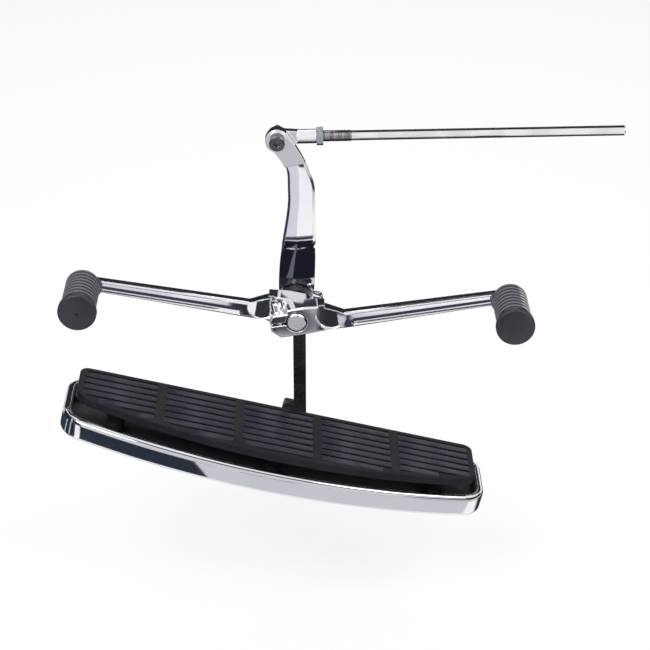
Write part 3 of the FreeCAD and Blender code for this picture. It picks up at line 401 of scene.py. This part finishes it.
slotFinish = {
    "chrome": "chrome", "bright_steel": "brightSteel", "zinc_screws": "zincScrews",
    "dark_steel": "darkSteel", "black_casting": "blackCasting", "black_paint": "blackPaint",
    "tread_rubber": "treadRubber", "peg_rubber": "pegRubber", "bearing_bronze": "bearingBronze",
}
nodeFinish = {
    "shift_rod": "rodSteel", "jam_nut": "nutSteel", "heel_lever": "heelChromeJointShade",
    "floorboard_pan": "panChromeSeamShade",
}
for part in frame["record"]["subparts"]:
    finishName = nodeFinish.get(part["node"], slotFinish[part["material_slot"]])
    for materialSlot in nodes[part["node"]].material_slots:
        materialSlot.material = made[finishName]
print("finishes made,", len(made))


# Grown pieces: each tree follows a rule from named sizes, in metres. The sizes that start with
# a capital are the tree's inputs
def growTree(name, sizes):
    tree = bpy.data.node_groups.new(name, "GeometryNodeTree")
    sockets = tree.interface
    for label, value in sizes.items():
        if label[0].isupper():
            kind = "NodeSocketInt" if isinstance(value, int) else "NodeSocketFloat"
            socket = sockets.new_socket(name=label, in_out="INPUT", socket_type=kind)
            socket.default_value = value
    sockets.new_socket(name="Geometry", in_out="OUTPUT", socket_type="NodeSocketGeometry")
    return tree, tree.nodes.new("NodeGroupInput").outputs


def closeTree(tree, shape, finishName):
    real = addNode(tree, "GeometryNodeRealizeInstances", {"Geometry": shape})
    dressed = addNode(tree, "GeometryNodeSetMaterial", {
        "Geometry": real.outputs[0], "Material": made[finishName]})
    tree.links.new(dressed.outputs[0], tree.nodes.new("NodeGroupOutput").inputs[0])
    return tree


def growPiece(name, tree, sizes, place, body, stands=None):
    holder = bpy.data.objects.new(name + "Holder", bpy.data.meshes.new(name + "Holder"))
    scene.collection.objects.link(holder)
    modifier = holder.modifiers.new("grow", "NODES")
    modifier.node_group = tree
    for item in tree.interface.items_tree:
        if item.item_type == "SOCKET" and item.in_out == "INPUT":
            modifier[item.identifier] = sizes[item.name]
    bpy.context.view_layer.update()
    grown = holder.evaluated_get(bpy.context.evaluated_depsgraph_get())
    mesh = bpy.data.meshes.new_from_object(grown)
    holder.modifiers.remove(modifier)
    bpy.data.objects.remove(holder)
    mesh.name = name
    mesh.transform(place)
    piece = bpy.data.objects.new(name, mesh)
    scene.collection.objects.link(piece)
    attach(piece, body)
    if stands:
        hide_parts(stands)
    print(name, "grown,", len(mesh.polygons), "faces")


# Rod thread: one ridge wound round the rod between the nut and the plain part
rodThread = {
    "rise": 0.85, "start": 0.0374,
    "Turns": 21.4, "Ridge Radius": 0.0042, "Ridge Size": 0.00056, "Length": 0.0226,
    "Steps": 36, "Ridge Sides": 4,
}


def buildThreadTree():
    tree, size = growTree("rodThreadTree", rodThread)
    spiral = addNode(tree, "GeometryNodeCurveSpiral", {
        "Resolution": size["Steps"], "Rotations": size["Turns"], "Height": size["Length"],
        "Start Radius": size["Ridge Radius"], "End Radius": size["Ridge Radius"]})
    ridge = addNode(tree, "GeometryNodeCurvePrimitiveCircle", {
        "Resolution": size["Ridge Sides"], "Radius": size["Ridge Size"]})
    sweep = addNode(tree, "GeometryNodeCurveToMesh", {
        "Curve": spiral.outputs[0], "Profile Curve": ridge.outputs[0], "Fill Caps": True})
    return closeTree(tree, sweep.outputs[0], "threadSteel")


rodLean = Matrix.Rotation(math.radians(90.0 - rodThread["rise"]), 4, "Y")
threadPlace = Matrix.Translation(joints["rod_pivot"]["pos_m"]) @ rodLean
threadPlace = threadPlace @ Matrix.Translation((0.0, 0.0, rodThread["start"]))
growPiece("rod_thread", buildThreadTree(), rodThread, threadPlace, "linkage")


# Peg sleeves: the radius follows the ridge rule, with a domed end disc and a collar at the lever
pegSleeve = {
    "Start": 0.0003, "Length": 0.0546, "Valley": 0.0125, "Ridge Height": 0.0018,
    "Ridge Pitch": 0.0054, "First Ridge": 0.00245, "Disc Radius": 0.0158, "Disc Start": 0.0489,
    "Edge": 0.0017, "Dot Radius": 0.0014, "Dot Drop": -0.0012, "Dot Depth": 0.0004,
    "Collar Radius": 0.0084, "Collar Length": 0.0090, "Collar Side": 0.0072, "Collar Drop": 0.0006,
    "Glint": 0.0, "Rings": 240, "Sides": 64,
}
# Only the heel sleeve carries the painted glints
pegEnds = {"heel": {"side": 1, "Dot Radius": 0.0005, "Glint": 1.0}, "toe": {"side": -1}}

# Rising and falling limits as shares of a ridge's pitch, and of the painted glint's sector in radians;
# the crest and glint limits place painted highlights. The step and the two ends are metres past the disc's start
ridgeMarks = {
    "ridge": ((0.04, 0.62), (0.78, 0.92)), "crest": ((0.50, 0.68), (0.78, 0.88)),
    "glint": ((0.50, 0.58), (0.74, 0.80)), "sector": ((0.34, 0.38), (1.06, 1.10)),
    "discStep": 0.0006, "crestEnd": -0.0005, "valleyEnd": -0.0002, "valleyShare": 1.6,
    "flat": 0.995,
}


# Rounds the radius off over the last stretch of a length
def addEdge(tree, along, length, edge, radius):
    past = addMath(tree, "SUBTRACT", along, addMath(tree, "SUBTRACT", length, edge))
    share = addMath(tree, "DIVIDE", past, edge, clamp=True)
    drop = addMath(tree, "SUBTRACT", 1.0, addMath(tree, "MULTIPLY", share, share))
    drop = addMath(tree, "SUBTRACT", 1.0, addMath(tree, "SQRT", drop))
    return addMath(tree, "SUBTRACT", radius, addMath(tree, "MULTIPLY", drop, edge))


def sweepRound(tree, size, end, radius):
    low = addNode(tree, "ShaderNodeCombineXYZ", {"Z": size["Start"]})
    high = addNode(tree, "ShaderNodeCombineXYZ", {"Z": end})
    line = addNode(tree, "GeometryNodeCurvePrimitiveLine", {
        "Start": low.outputs[0], "End": high.outputs[0]})
    fine = addNode(tree, "GeometryNodeResampleCurve", {
        "Curve": line.outputs[0], "Count": size["Rings"]})
    ring = addNode(tree, "GeometryNodeCurvePrimitiveCircle", {
        "Resolution": size["Sides"], "Radius": 1.0})
    swept = addNode(tree, "GeometryNodeCurveToMesh", {
        "Curve": fine.outputs[0], "Profile Curve": ring.outputs[0], "Scale": radius,
        "Fill Caps": True})
    return swept.outputs[0]


def storeMark(tree, shape, name, value):
    stored = addNode(tree, "GeometryNodeStoreNamedAttribute", {
        "Geometry": shape, "Name": name, "Value": value}, data_type="FLOAT", domain="POINT")
    return stored.outputs[0]


def buildPegTree():
    tree, size = growTree("pegSleeveTree", pegSleeve)
    place = tree.nodes.new("GeometryNodeInputPosition")
    split = addNode(tree, "ShaderNodeSeparateXYZ", {"Vector": place.outputs[0]})
    along = split.outputs["Z"]

    # Ridges, then the disc at the free end, rounded off
    turns = addMath(tree, "SUBTRACT", along, size["First Ridge"])
    turns = addMath(tree, "DIVIDE", turns, size["Ridge Pitch"])
    wave = addMath(tree, "FRACT", addMath(tree, "ADD", turns, 0.5))
    rise = addWindow(tree, wave, *ridgeMarks["ridge"])
    ridge = addMath(tree, "MULTIPLY", rise, size["Ridge Height"])
    radius = addMath(tree, "ADD", size["Valley"], ridge)
    past = addMath(tree, "SUBTRACT", along, size["Disc Start"])
    disc = addRange(tree, past, 0.0, ridgeMarks["discStep"])
    wider = addMath(tree, "MULTIPLY", addMath(tree, "SUBTRACT", size["Disc Radius"], radius), disc)
    radius = addMath(tree, "ADD", radius, wider)
    radius = addEdge(tree, along, size["Length"], size["Edge"], radius)
    sleeve = sweepRound(tree, size, size["Length"], radius)

    # Moulding dot, cut out of the disc
    ball = addNode(tree, "GeometryNodeMeshUVSphere", {
        "Segments": 20, "Rings": 12, "Radius": size["Dot Radius"]})
    spot = addNode(tree, "ShaderNodeCombineXYZ", {
        "Y": size["Dot Drop"], "Z": addMath(tree, "SUBTRACT", size["Length"], size["Dot Depth"])})
    ball = addNode(tree, "GeometryNodeTransform", {
        "Geometry": ball.outputs[0], "Translation": spot.outputs[0]})
    dotted = addNode(tree, "GeometryNodeMeshBoolean", {
        "Mesh 1": sleeve, "Mesh 2": ball.outputs[0]}, operation="DIFFERENCE")

    # Collar on the lever's side
    collarRadius = addEdge(tree, along, size["Collar Length"], size["Edge"], size["Collar Radius"])
    collar = sweepRound(tree, size, size["Collar Length"], collarRadius)
    side = addNode(tree, "ShaderNodeCombineXYZ", {
        "X": size["Collar Side"], "Y": addMath(tree, "MULTIPLY", size["Collar Drop"], -1.0)})
    collar = addNode(tree, "GeometryNodeTransform", {
        "Geometry": collar, "Translation": side.outputs[0]})
    both = tree.nodes.new("GeometryNodeJoinGeometry")
    for shape in (collar, dotted):
        tree.links.new(shape.outputs[0], both.inputs[0])

    # Painted highlight, shade and glint marks that the rubber's finish reads
    ridged = addMath(tree, "LESS_THAN", past, ridgeMarks["crestEnd"])
    crest = addMath(tree, "MULTIPLY", addWindow(tree, wave, *ridgeMarks["crest"]), ridged)
    marked = storeMark(tree, both.outputs[0], "crest", crest)
    filled = addMath(tree, "MULTIPLY", rise, ridgeMarks["valleyShare"], clamp=True)
    valley = addMath(tree, "MULTIPLY", addMath(tree, "SUBTRACT", 1.0, filled, clamp=True),
                     addMath(tree, "LESS_THAN", past, ridgeMarks["valleyEnd"]))
    marked = storeMark(tree, marked, "valley", valley)
    turn = addMath(tree, "ARCTAN2", split.outputs["Y"], split.outputs["X"])
    glint = addMath(tree, "MULTIPLY", addWindow(tree, wave, *ridgeMarks["glint"]),
                    addWindow(tree, turn, *ridgeMarks["sector"]))
    glint = addMath(tree, "MULTIPLY", addMath(tree, "MULTIPLY", glint, size["Glint"]), ridged)
    marked = storeMark(tree, marked, "glint", glint)

    normal = tree.nodes.new("GeometryNodeInputNormal")
    facing = addNode(tree, "ShaderNodeSeparateXYZ", {"Vector": normal.outputs[0]})
    upright = addMath(tree, "ABSOLUTE", facing.outputs["Z"])
    flat = addMath(tree, "GREATER_THAN", upright, ridgeMarks["flat"])
    soft = addNode(tree, "GeometryNodeSetShadeSmooth", {
        "Geometry": marked, "Selection": addMath(tree, "SUBTRACT", 1.0, flat)})
    return closeTree(tree, soft.outputs[0], "pegRubber")


pegTree = buildPegTree()
for end, own in pegEnds.items():
    rubber = end + "_peg_rubber"
    low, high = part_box(rubber)
    side = own["side"]
    middle = (high[0] if side > 0 else low[0]) - side * pegSleeve["Disc Radius"]
    root = Matrix.Translation((middle, high[1], (low[2] + high[2]) / 2))
    root = root @ Matrix.Rotation(math.radians(90.0), 4, "X")
    sizes = {**pegSleeve, **own, "Collar Side": -side * pegSleeve["Collar Side"]}
    growPiece(end + "_peg_sleeve", pegTree, sizes, root, "shifter", rubber)


# Tread crowns: a low rounded top along every rib of the pad, cut short where the bow comes in
treadCrown = {
    "Rows": 7.0, "Fields": 5.0, "First Row": -0.05915, "Row Pitch": 0.0099, "Rib Width": 0.0072,
    "Crown": 0.0005, "Field Spacing": 0.067, "Band": 0.008, "Pad Half": 0.1655,
    "Bow Front": -0.124, "Bow Radius": 0.515, "Bow Shift": 0.010, "Top": 0.0439,
    "Front Share": 0.1, "Shortest": 0.004, "Sides": 32,
}


def buildCrownTree():
    tree, size = growTree("treadCrownTree", treadCrown)

    # Field and row of each rib, and its place across the pad
    count = addMath(tree, "MULTIPLY", size["Rows"], size["Fields"])
    index = tree.nodes.new("GeometryNodeInputIndex").outputs[0]
    field = addMath(tree, "ADD", index, 0.1)  # against rounding in the division
    field = addMath(tree, "FLOOR", addMath(tree, "DIVIDE", field, size["Rows"]))
    row = addMath(tree, "SUBTRACT", index, addMath(tree, "MULTIPLY", field, size["Rows"]))
    y = addMath(tree, "MULTIPLY", row, size["Row Pitch"])
    y = addMath(tree, "SUBTRACT", size["First Row"], y)

    # How far the bow lets a rib reach
    front = addMath(tree, "MULTIPLY", size["Rib Width"], size["Front Share"])
    front = addMath(tree, "ADD", y, front)
    reach = addMath(tree, "ADD", size["Bow Front"], size["Bow Radius"])
    reach = addMath(tree, "SUBTRACT", reach, front)
    half = addMath(tree, "MULTIPLY", size["Bow Radius"], size["Bow Radius"])
    half = addMath(tree, "SUBTRACT", half, addMath(tree, "MULTIPLY", reach, reach))
    half = addMath(tree, "SQRT", addMath(tree, "MAXIMUM", half, 0.0))

    # The rib's two ends between the bands
    start = addMath(tree, "SUBTRACT", field, addMath(tree, "MULTIPLY", size["Fields"], 0.5))
    start = addMath(tree, "MULTIPLY", start, size["Field Spacing"])
    gap = addMath(tree, "MULTIPLY", size["Band"], 0.5)
    first = addMath(tree, "MULTIPLY", addMath(tree, "LESS_THAN", field, 0.5), size["Band"])
    last = addMath(tree, "GREATER_THAN", field, addMath(tree, "SUBTRACT", size["Fields"], 1.5))
    last = addMath(tree, "MULTIPLY", last, size["Band"])
    low = addMath(tree, "SUBTRACT", addMath(tree, "ADD", start, gap), first)
    high = addMath(tree, "SUBTRACT", addMath(tree, "ADD", start, size["Field Spacing"]), gap)
    high = addMath(tree, "ADD", high, last)
    low = addMath(tree, "MAXIMUM", low, addMath(tree, "MULTIPLY", size["Pad Half"], -1.0))
    low = addMath(tree, "MAXIMUM", low, addMath(tree, "SUBTRACT", size["Bow Shift"], half))
    high = addMath(tree, "MINIMUM", high, size["Pad Half"])
    high = addMath(tree, "MINIMUM", high, addMath(tree, "ADD", size["Bow Shift"], half))
    length = addMath(tree, "SUBTRACT", high, low)
    middle = addMath(tree, "MULTIPLY", addMath(tree, "ADD", low, high), 0.5)

    # A squashed bar on each point
    place = addNode(tree, "ShaderNodeCombineXYZ", {"X": middle, "Y": y, "Z": size["Top"]})
    points = addNode(tree, "GeometryNodePoints", {"Count": count, "Position": place.outputs[0]})
    bar = addNode(tree, "GeometryNodeMeshCylinder", {
        "Vertices": size["Sides"], "Radius": 1.0, "Depth": 1.0}, fill_type="NGON")
    squash = addNode(tree, "ShaderNodeCombineXYZ", {
        "X": size["Crown"], "Y": addMath(tree, "MULTIPLY", size["Rib Width"], 0.5), "Z": 1.0})
    bar = addNode(tree, "GeometryNodeTransform", {
        "Geometry": bar.outputs[0], "Rotation": (0.0, math.pi / 2, 0.0),
        "Scale": squash.outputs[0]})
    stretch = addNode(tree, "ShaderNodeCombineXYZ", {"X": length, "Y": 1.0, "Z": 1.0})
    laid = addNode(tree, "GeometryNodeInstanceOnPoints", {
        "Points": points.outputs[0], "Instance": bar.outputs[0], "Scale": stretch.outputs[0],
        "Selection": addMath(tree, "GREATER_THAN", length, size["Shortest"])})
    soft = addNode(tree, "GeometryNodeSetShadeSmooth", {"Geometry": laid.outputs[0]})
    return closeTree(tree, soft.outputs[0], "ribRubberSheen")


crownPlace = Matrix.Rotation(math.radians(boardLean), 4, "Y")
growPiece("tread_crowns", buildCrownTree(), treadCrown, crownPlace, "board")


# Floor, backdrop and soft lamps
studio = {
    "floor": -0.12, "floorSize": 9.0, "floorColour": (0.86, 0.86, 0.86), "floorRough": 0.9,
    "whiteShare": 0.72, "fill": 0.62, "aim": (0.05, -0.06, 0.1),
    "lamps": [
        {"name": "keyLamp", "place": (-0.75, -1.1, 1.5), "size": 1.1, "watts": 22.0},
        {"name": "fillLamp", "place": (1.1, -0.7, 1.2), "size": 0.9, "watts": 9.0},
        {"name": "backLamp", "place": (0.1, 1.3, 1.4), "size": 1.0, "watts": 9.0},
    ],
}


# The background is plain white to the camera and in reflections
def whiteRays(tree):
    path = tree.nodes.new("ShaderNodeLightPath").outputs
    seen = addMath(tree, "MAXIMUM", path["Is Camera Ray"], path["Is Glossy Ray"])
    return addMath(tree, "MAXIMUM", seen, path["Is Transmission Ray"])


def blendShaders(tree, share, first, second, output):
    mix = tree.nodes.new("ShaderNodeMixShader")
    for socket, value in zip(mix.inputs, (share, first.outputs[0], second.outputs[0])):
        tree.links.new(value, socket)
    tree.links.new(mix.outputs[0], tree.nodes[output].inputs["Surface"])


def buildWorld():
    world = bpy.data.worlds.new("studioWorld")
    scene.world = world
    world.use_nodes = True
    tree = world.node_tree
    fill = tree.nodes["Background"]
    fill.inputs["Color"].default_value = (1.0, 1.0, 1.0, 1.0)
    fill.inputs["Strength"].default_value = studio["fill"]
    white = addNode(tree, "ShaderNodeBackground", {"Color": (1.0, 1.0, 1.0, 1.0)})
    blendShaders(tree, whiteRays(tree), fill, white, "World Output")


def buildFloor():
    bm = bmesh.new()
    bmesh.ops.create_grid(bm, x_segments=1, y_segments=1, size=studio["floorSize"])
    bmesh.ops.translate(bm, verts=bm.verts, vec=(0.0, 0.0, studio["floor"]))
    mesh = bpy.data.meshes.new("floor")
    bm.to_mesh(mesh)
    bm.free()
    floor = bpy.data.objects.new("floor", mesh)
    scene.collection.objects.link(floor)
    pale = bpy.data.materials.new("paleFloor")
    pale.use_nodes = True
    tree = pale.node_tree
    shader = tree.nodes["Principled BSDF"]
    shader.inputs["Base Color"].default_value = studio["floorColour"] + (1.0,)
    shader.inputs["Roughness"].default_value = studio["floorRough"]
    shader.inputs["Specular IOR Level"].default_value = 0.0
    glow = tree.nodes.new("ShaderNodeEmission")
    share = addMath(tree, "MULTIPLY", whiteRays(tree), studio["whiteShare"])
    blendShaders(tree, share, shader, glow, "Material Output")
    mesh.materials.append(pale)


def buildLamps():
    for lamp in studio["lamps"]:
        data = bpy.data.lights.new(lamp["name"], "AREA")
        data.shape = "DISK"
        data.size = lamp["size"]
        data.energy = lamp["watts"]
        thing = bpy.data.objects.new(lamp["name"], data)
        thing.location = lamp["place"]
        aim = Vector(studio["aim"]) - thing.location
        thing.rotation_euler = aim.to_track_quat("-Z", "Y").to_euler()
        scene.collection.objects.link(thing)


# Studio cards: soft-edged panels beside the object that only its reflections show. Each row is
# name, middle, across, up, colour, width of the soft edge, and where only one side shows, which:
# the front is seen from where across points right and up points up
cards = [
    ("panCard", (0.05, -0.345, -0.112), (0.62, 0.20, 0.0), (0.0, 0.24, 0.0),
     (0.66, 0.66, 0.70), 0.02),
    ("panDark", (-0.445, -0.473, -0.108), (0.60, 0.12, 0.0), (0.16, 0.156, 0.0),
     (0.025, 0.034, 0.050), 0.006),
    ("lipLine", (0.10, -0.485, -0.110), (0.80, 0.0, 0.0), (0.0, 0.030, 0.0),
     (0.03, 0.035, 0.05), 0.005),
    ("cornerNear", (-0.71, -0.28, -0.109), (0.48, 0.0, 0.0), (0.0, 0.16, 0.0),
     (0.020, 0.028, 0.050), 0.006),
    ("cornerMiddle", (-0.64, -0.09, -0.109), (0.62, 0.0, 0.0), (0.0, 0.18, 0.0),
     (0.020, 0.028, 0.050), 0.006),
    ("cornerFar", (-0.62, 0.16, -0.109), (0.68, 0.0, 0.0), (0.0, 0.28, 0.0),
     (0.035, 0.045, 0.075), 0.006),
    ("legDark", (0.030, -0.046, 0.152), (0.09, 0.0, 0.0), (0.0, 0.062, 0.0),
     (0.012, 0.013, 0.022), 0.002, "front"),
    ("legStripe", (0.020, -0.046, 0.1525), (0.007, 0.0, 0.0), (0.0, 0.062, 0.0),
     (0.13, 0.14, 0.16), 0.0015, "front"),
    ("legBlue", (0.030, -0.0955, 0.1520), (0.09, 0.0, 0.0), (0.0, 0.027, 0.0),
     (0.20, 0.25, 0.34), 0.003, "front"),
    ("barCard", (0.0, -0.535, -0.112), (0.90, 0.0, 0.0), (0.0, 0.085, 0.0),
     (0.62, 0.63, 0.67), 0.02),
    ("toeUnder", (-0.090, -0.0625, 0.132), (0.14, 0.0, -0.022), (0.0, 0.036, 0.0),
     (0.05, 0.045, 0.08), 0.003, "front"),
    ("heelUnder", (0.135, -0.0795, 0.1265), (0.14, 0.0, 0.017), (0.0, 0.035, 0.0),
     (0.05, 0.045, 0.08), 0.003, "front"),
    ("toeFront", (-0.095, -0.12, 0.1562), (0.12, 0.0, -0.023), (0.0, 0.0, 0.036),
     (0.05, 0.045, 0.08), 0.002, "back"),
    ("heelFront", (0.140, -0.136, 0.1504), (0.14, 0.0, 0.023), (0.0, 0.0, 0.036),
     (0.05, 0.045, 0.08), 0.002, "back"),
    ("hubShade", (0.008, -0.55, -0.108), (0.125, 0.0, 0.0), (0.0, 0.12, 0.0),
     (0.05, 0.05, 0.065), 0.045),
    ("hubBack", (0.030, -0.070, 0.1665), (0.08, 0.0, 0.0), (0.0, 0.0, 0.010),
     (0.05, 0.052, 0.065), 0.002, "back"),
    ("toeNeckDark", (-0.025, -0.55, -0.107), (0.060, 0.0, 0.0), (0.0, 0.12, 0.0),
     (0.03, 0.035, 0.04), 0.008),
    ("neckDark", (0.066, -0.55, -0.107), (0.044, 0.0, 0.0), (0.0, 0.12, 0.0),
     (0.03, 0.03, 0.04), 0.006),
    ("armLeftCard", (-0.27, -0.765, -0.111), (0.34, 0.0, 0.0), (0.0, 0.43, 0.0),
     (0.76, 0.76, 0.83), 0.03),
    ("plateCard", (0.0, -0.98, -0.110), (0.22, 0.0, 0.0), (0.0, 0.20, 0.0),
     (0.58, 0.59, 0.61), 0.02),
    ("rodUnder", (0.195, -0.053, 0.200), (0.24, 0.0, 0.0), (0.0, 0.046, 0.0),
     (0.04, 0.03, 0.04), 0.008),
    ("eyeBack", (0.010, 0.05, 0.310), (0.090, 0.0, 0.0), (0.0, 0.0, 0.110),
     (0.03, 0.03, 0.05), 0.004, "front"),
    ("nutUnder", (0.052, -0.014, 0.262), (0.05, 0.0, 0.0), (0.0, 0.042, 0.0),
     (0.04, 0.03, 0.04), 0.004),
    ("leftNear", (-0.75, -0.60, 0.245), (0.0, 0.60, 0.0), (0.0, 0.0, 0.71),
     (0.03, 0.04, 0.07), 0.02),
    ("leftFar", (-0.75, 0.07, 0.245), (0.0, 0.66, 0.0), (0.0, 0.0, 0.71), (0.03, 0.04, 0.07), 0.02),
    ("rightCard", (0.75, -0.35, 0.10), (0.0, 1.50, 0.0), (0.0, 0.0, 0.40),
     (0.05, 0.055, 0.075), 0.12),
    ("topLeft", (-0.20, 0.195, 0.43), (0.40, 0.0, 0.0), (0.0, 0.31, 0.0),
     (0.02, 0.022, 0.03), 0.02),
    ("topRight", (0.272, 0.155, 0.43), (0.456, 0.0, 0.0), (0.0, 0.39, 0.0),
     (0.02, 0.022, 0.03), 0.02),
    ("rearCard", (0.05, 0.35, 0.28), (1.10, 0.0, 0.0), (0.0, 0.0, 0.32), (0.02, 0.022, 0.03), 0.02),
    ("underCard", (0.05, 0.22, -0.111), (0.90, 0.0, 0.0), (0.0, 0.62, 0.0),
     (0.03, 0.032, 0.04), 0.05),
]


def buildCardPanel(name, width, height, colour, soft, only):
    panel = bpy.data.materials.new(name)
    panel.use_nodes = True
    tree = panel.node_tree
    tree.nodes.remove(tree.nodes["Principled BSDF"])
    glow = addNode(tree, "ShaderNodeEmission", {"Color": colour + (1.0,)})
    clear = tree.nodes.new("ShaderNodeBsdfTransparent")
    uvs = addNode(tree, "ShaderNodeUVMap", uv_map="cardUv")
    split = addNode(tree, "ShaderNodeSeparateXYZ", {"Vector": uvs.outputs["UV"]})
    shares = []
    for axis, length in (("X", width), ("Y", height)):
        fade = min(0.49, soft / length)  # two soft edges never meet
        shares.append(addWindow(tree, split.outputs[axis], (0.0, fade), (1.0 - fade, 1.0)))
    share = addMath(tree, "MULTIPLY", *shares)
    if only:
        seen = tree.nodes.new("ShaderNodeNewGeometry").outputs["Backfacing"]
        if only == "front":
            seen = addMath(tree, "SUBTRACT", 1.0, seen)
        share = addMath(tree, "MULTIPLY", share, seen)
    blendShaders(tree, share, clear, glow, "Material Output")
    return panel


def buildCards():
    for name, middle, across, up, colour, soft, *only in cards:
        middle, across, up = Vector(middle), Vector(across) / 2, Vector(up) / 2
        mesh = bpy.data.meshes.new(name)
        corners = [middle - across - up, middle + across - up,
                   middle + across + up, middle - across + up]
        mesh.from_pydata([tuple(corner) for corner in corners], [], [(0, 1, 2, 3)])
        layer = mesh.uv_layers.new(name="cardUv")
        for loop, uv in zip(layer.data, ((0, 0), (1, 0), (1, 1), (0, 1))):
            loop.uv = uv
        width, height = across.length * 2, up.length * 2
        panel = buildCardPanel(name, width, height, colour, soft, only[0] if only else None)
        mesh.materials.append(panel)
        card = bpy.data.objects.new(name, mesh)
        card.visible_camera = False
        card.visible_diffuse = False
        card.visible_shadow = False
        card.visible_transmission = False
        scene.collection.objects.link(card)


buildWorld()
buildFloor()
buildLamps()
buildCards()
print("studio built,", len(cards), "cards")
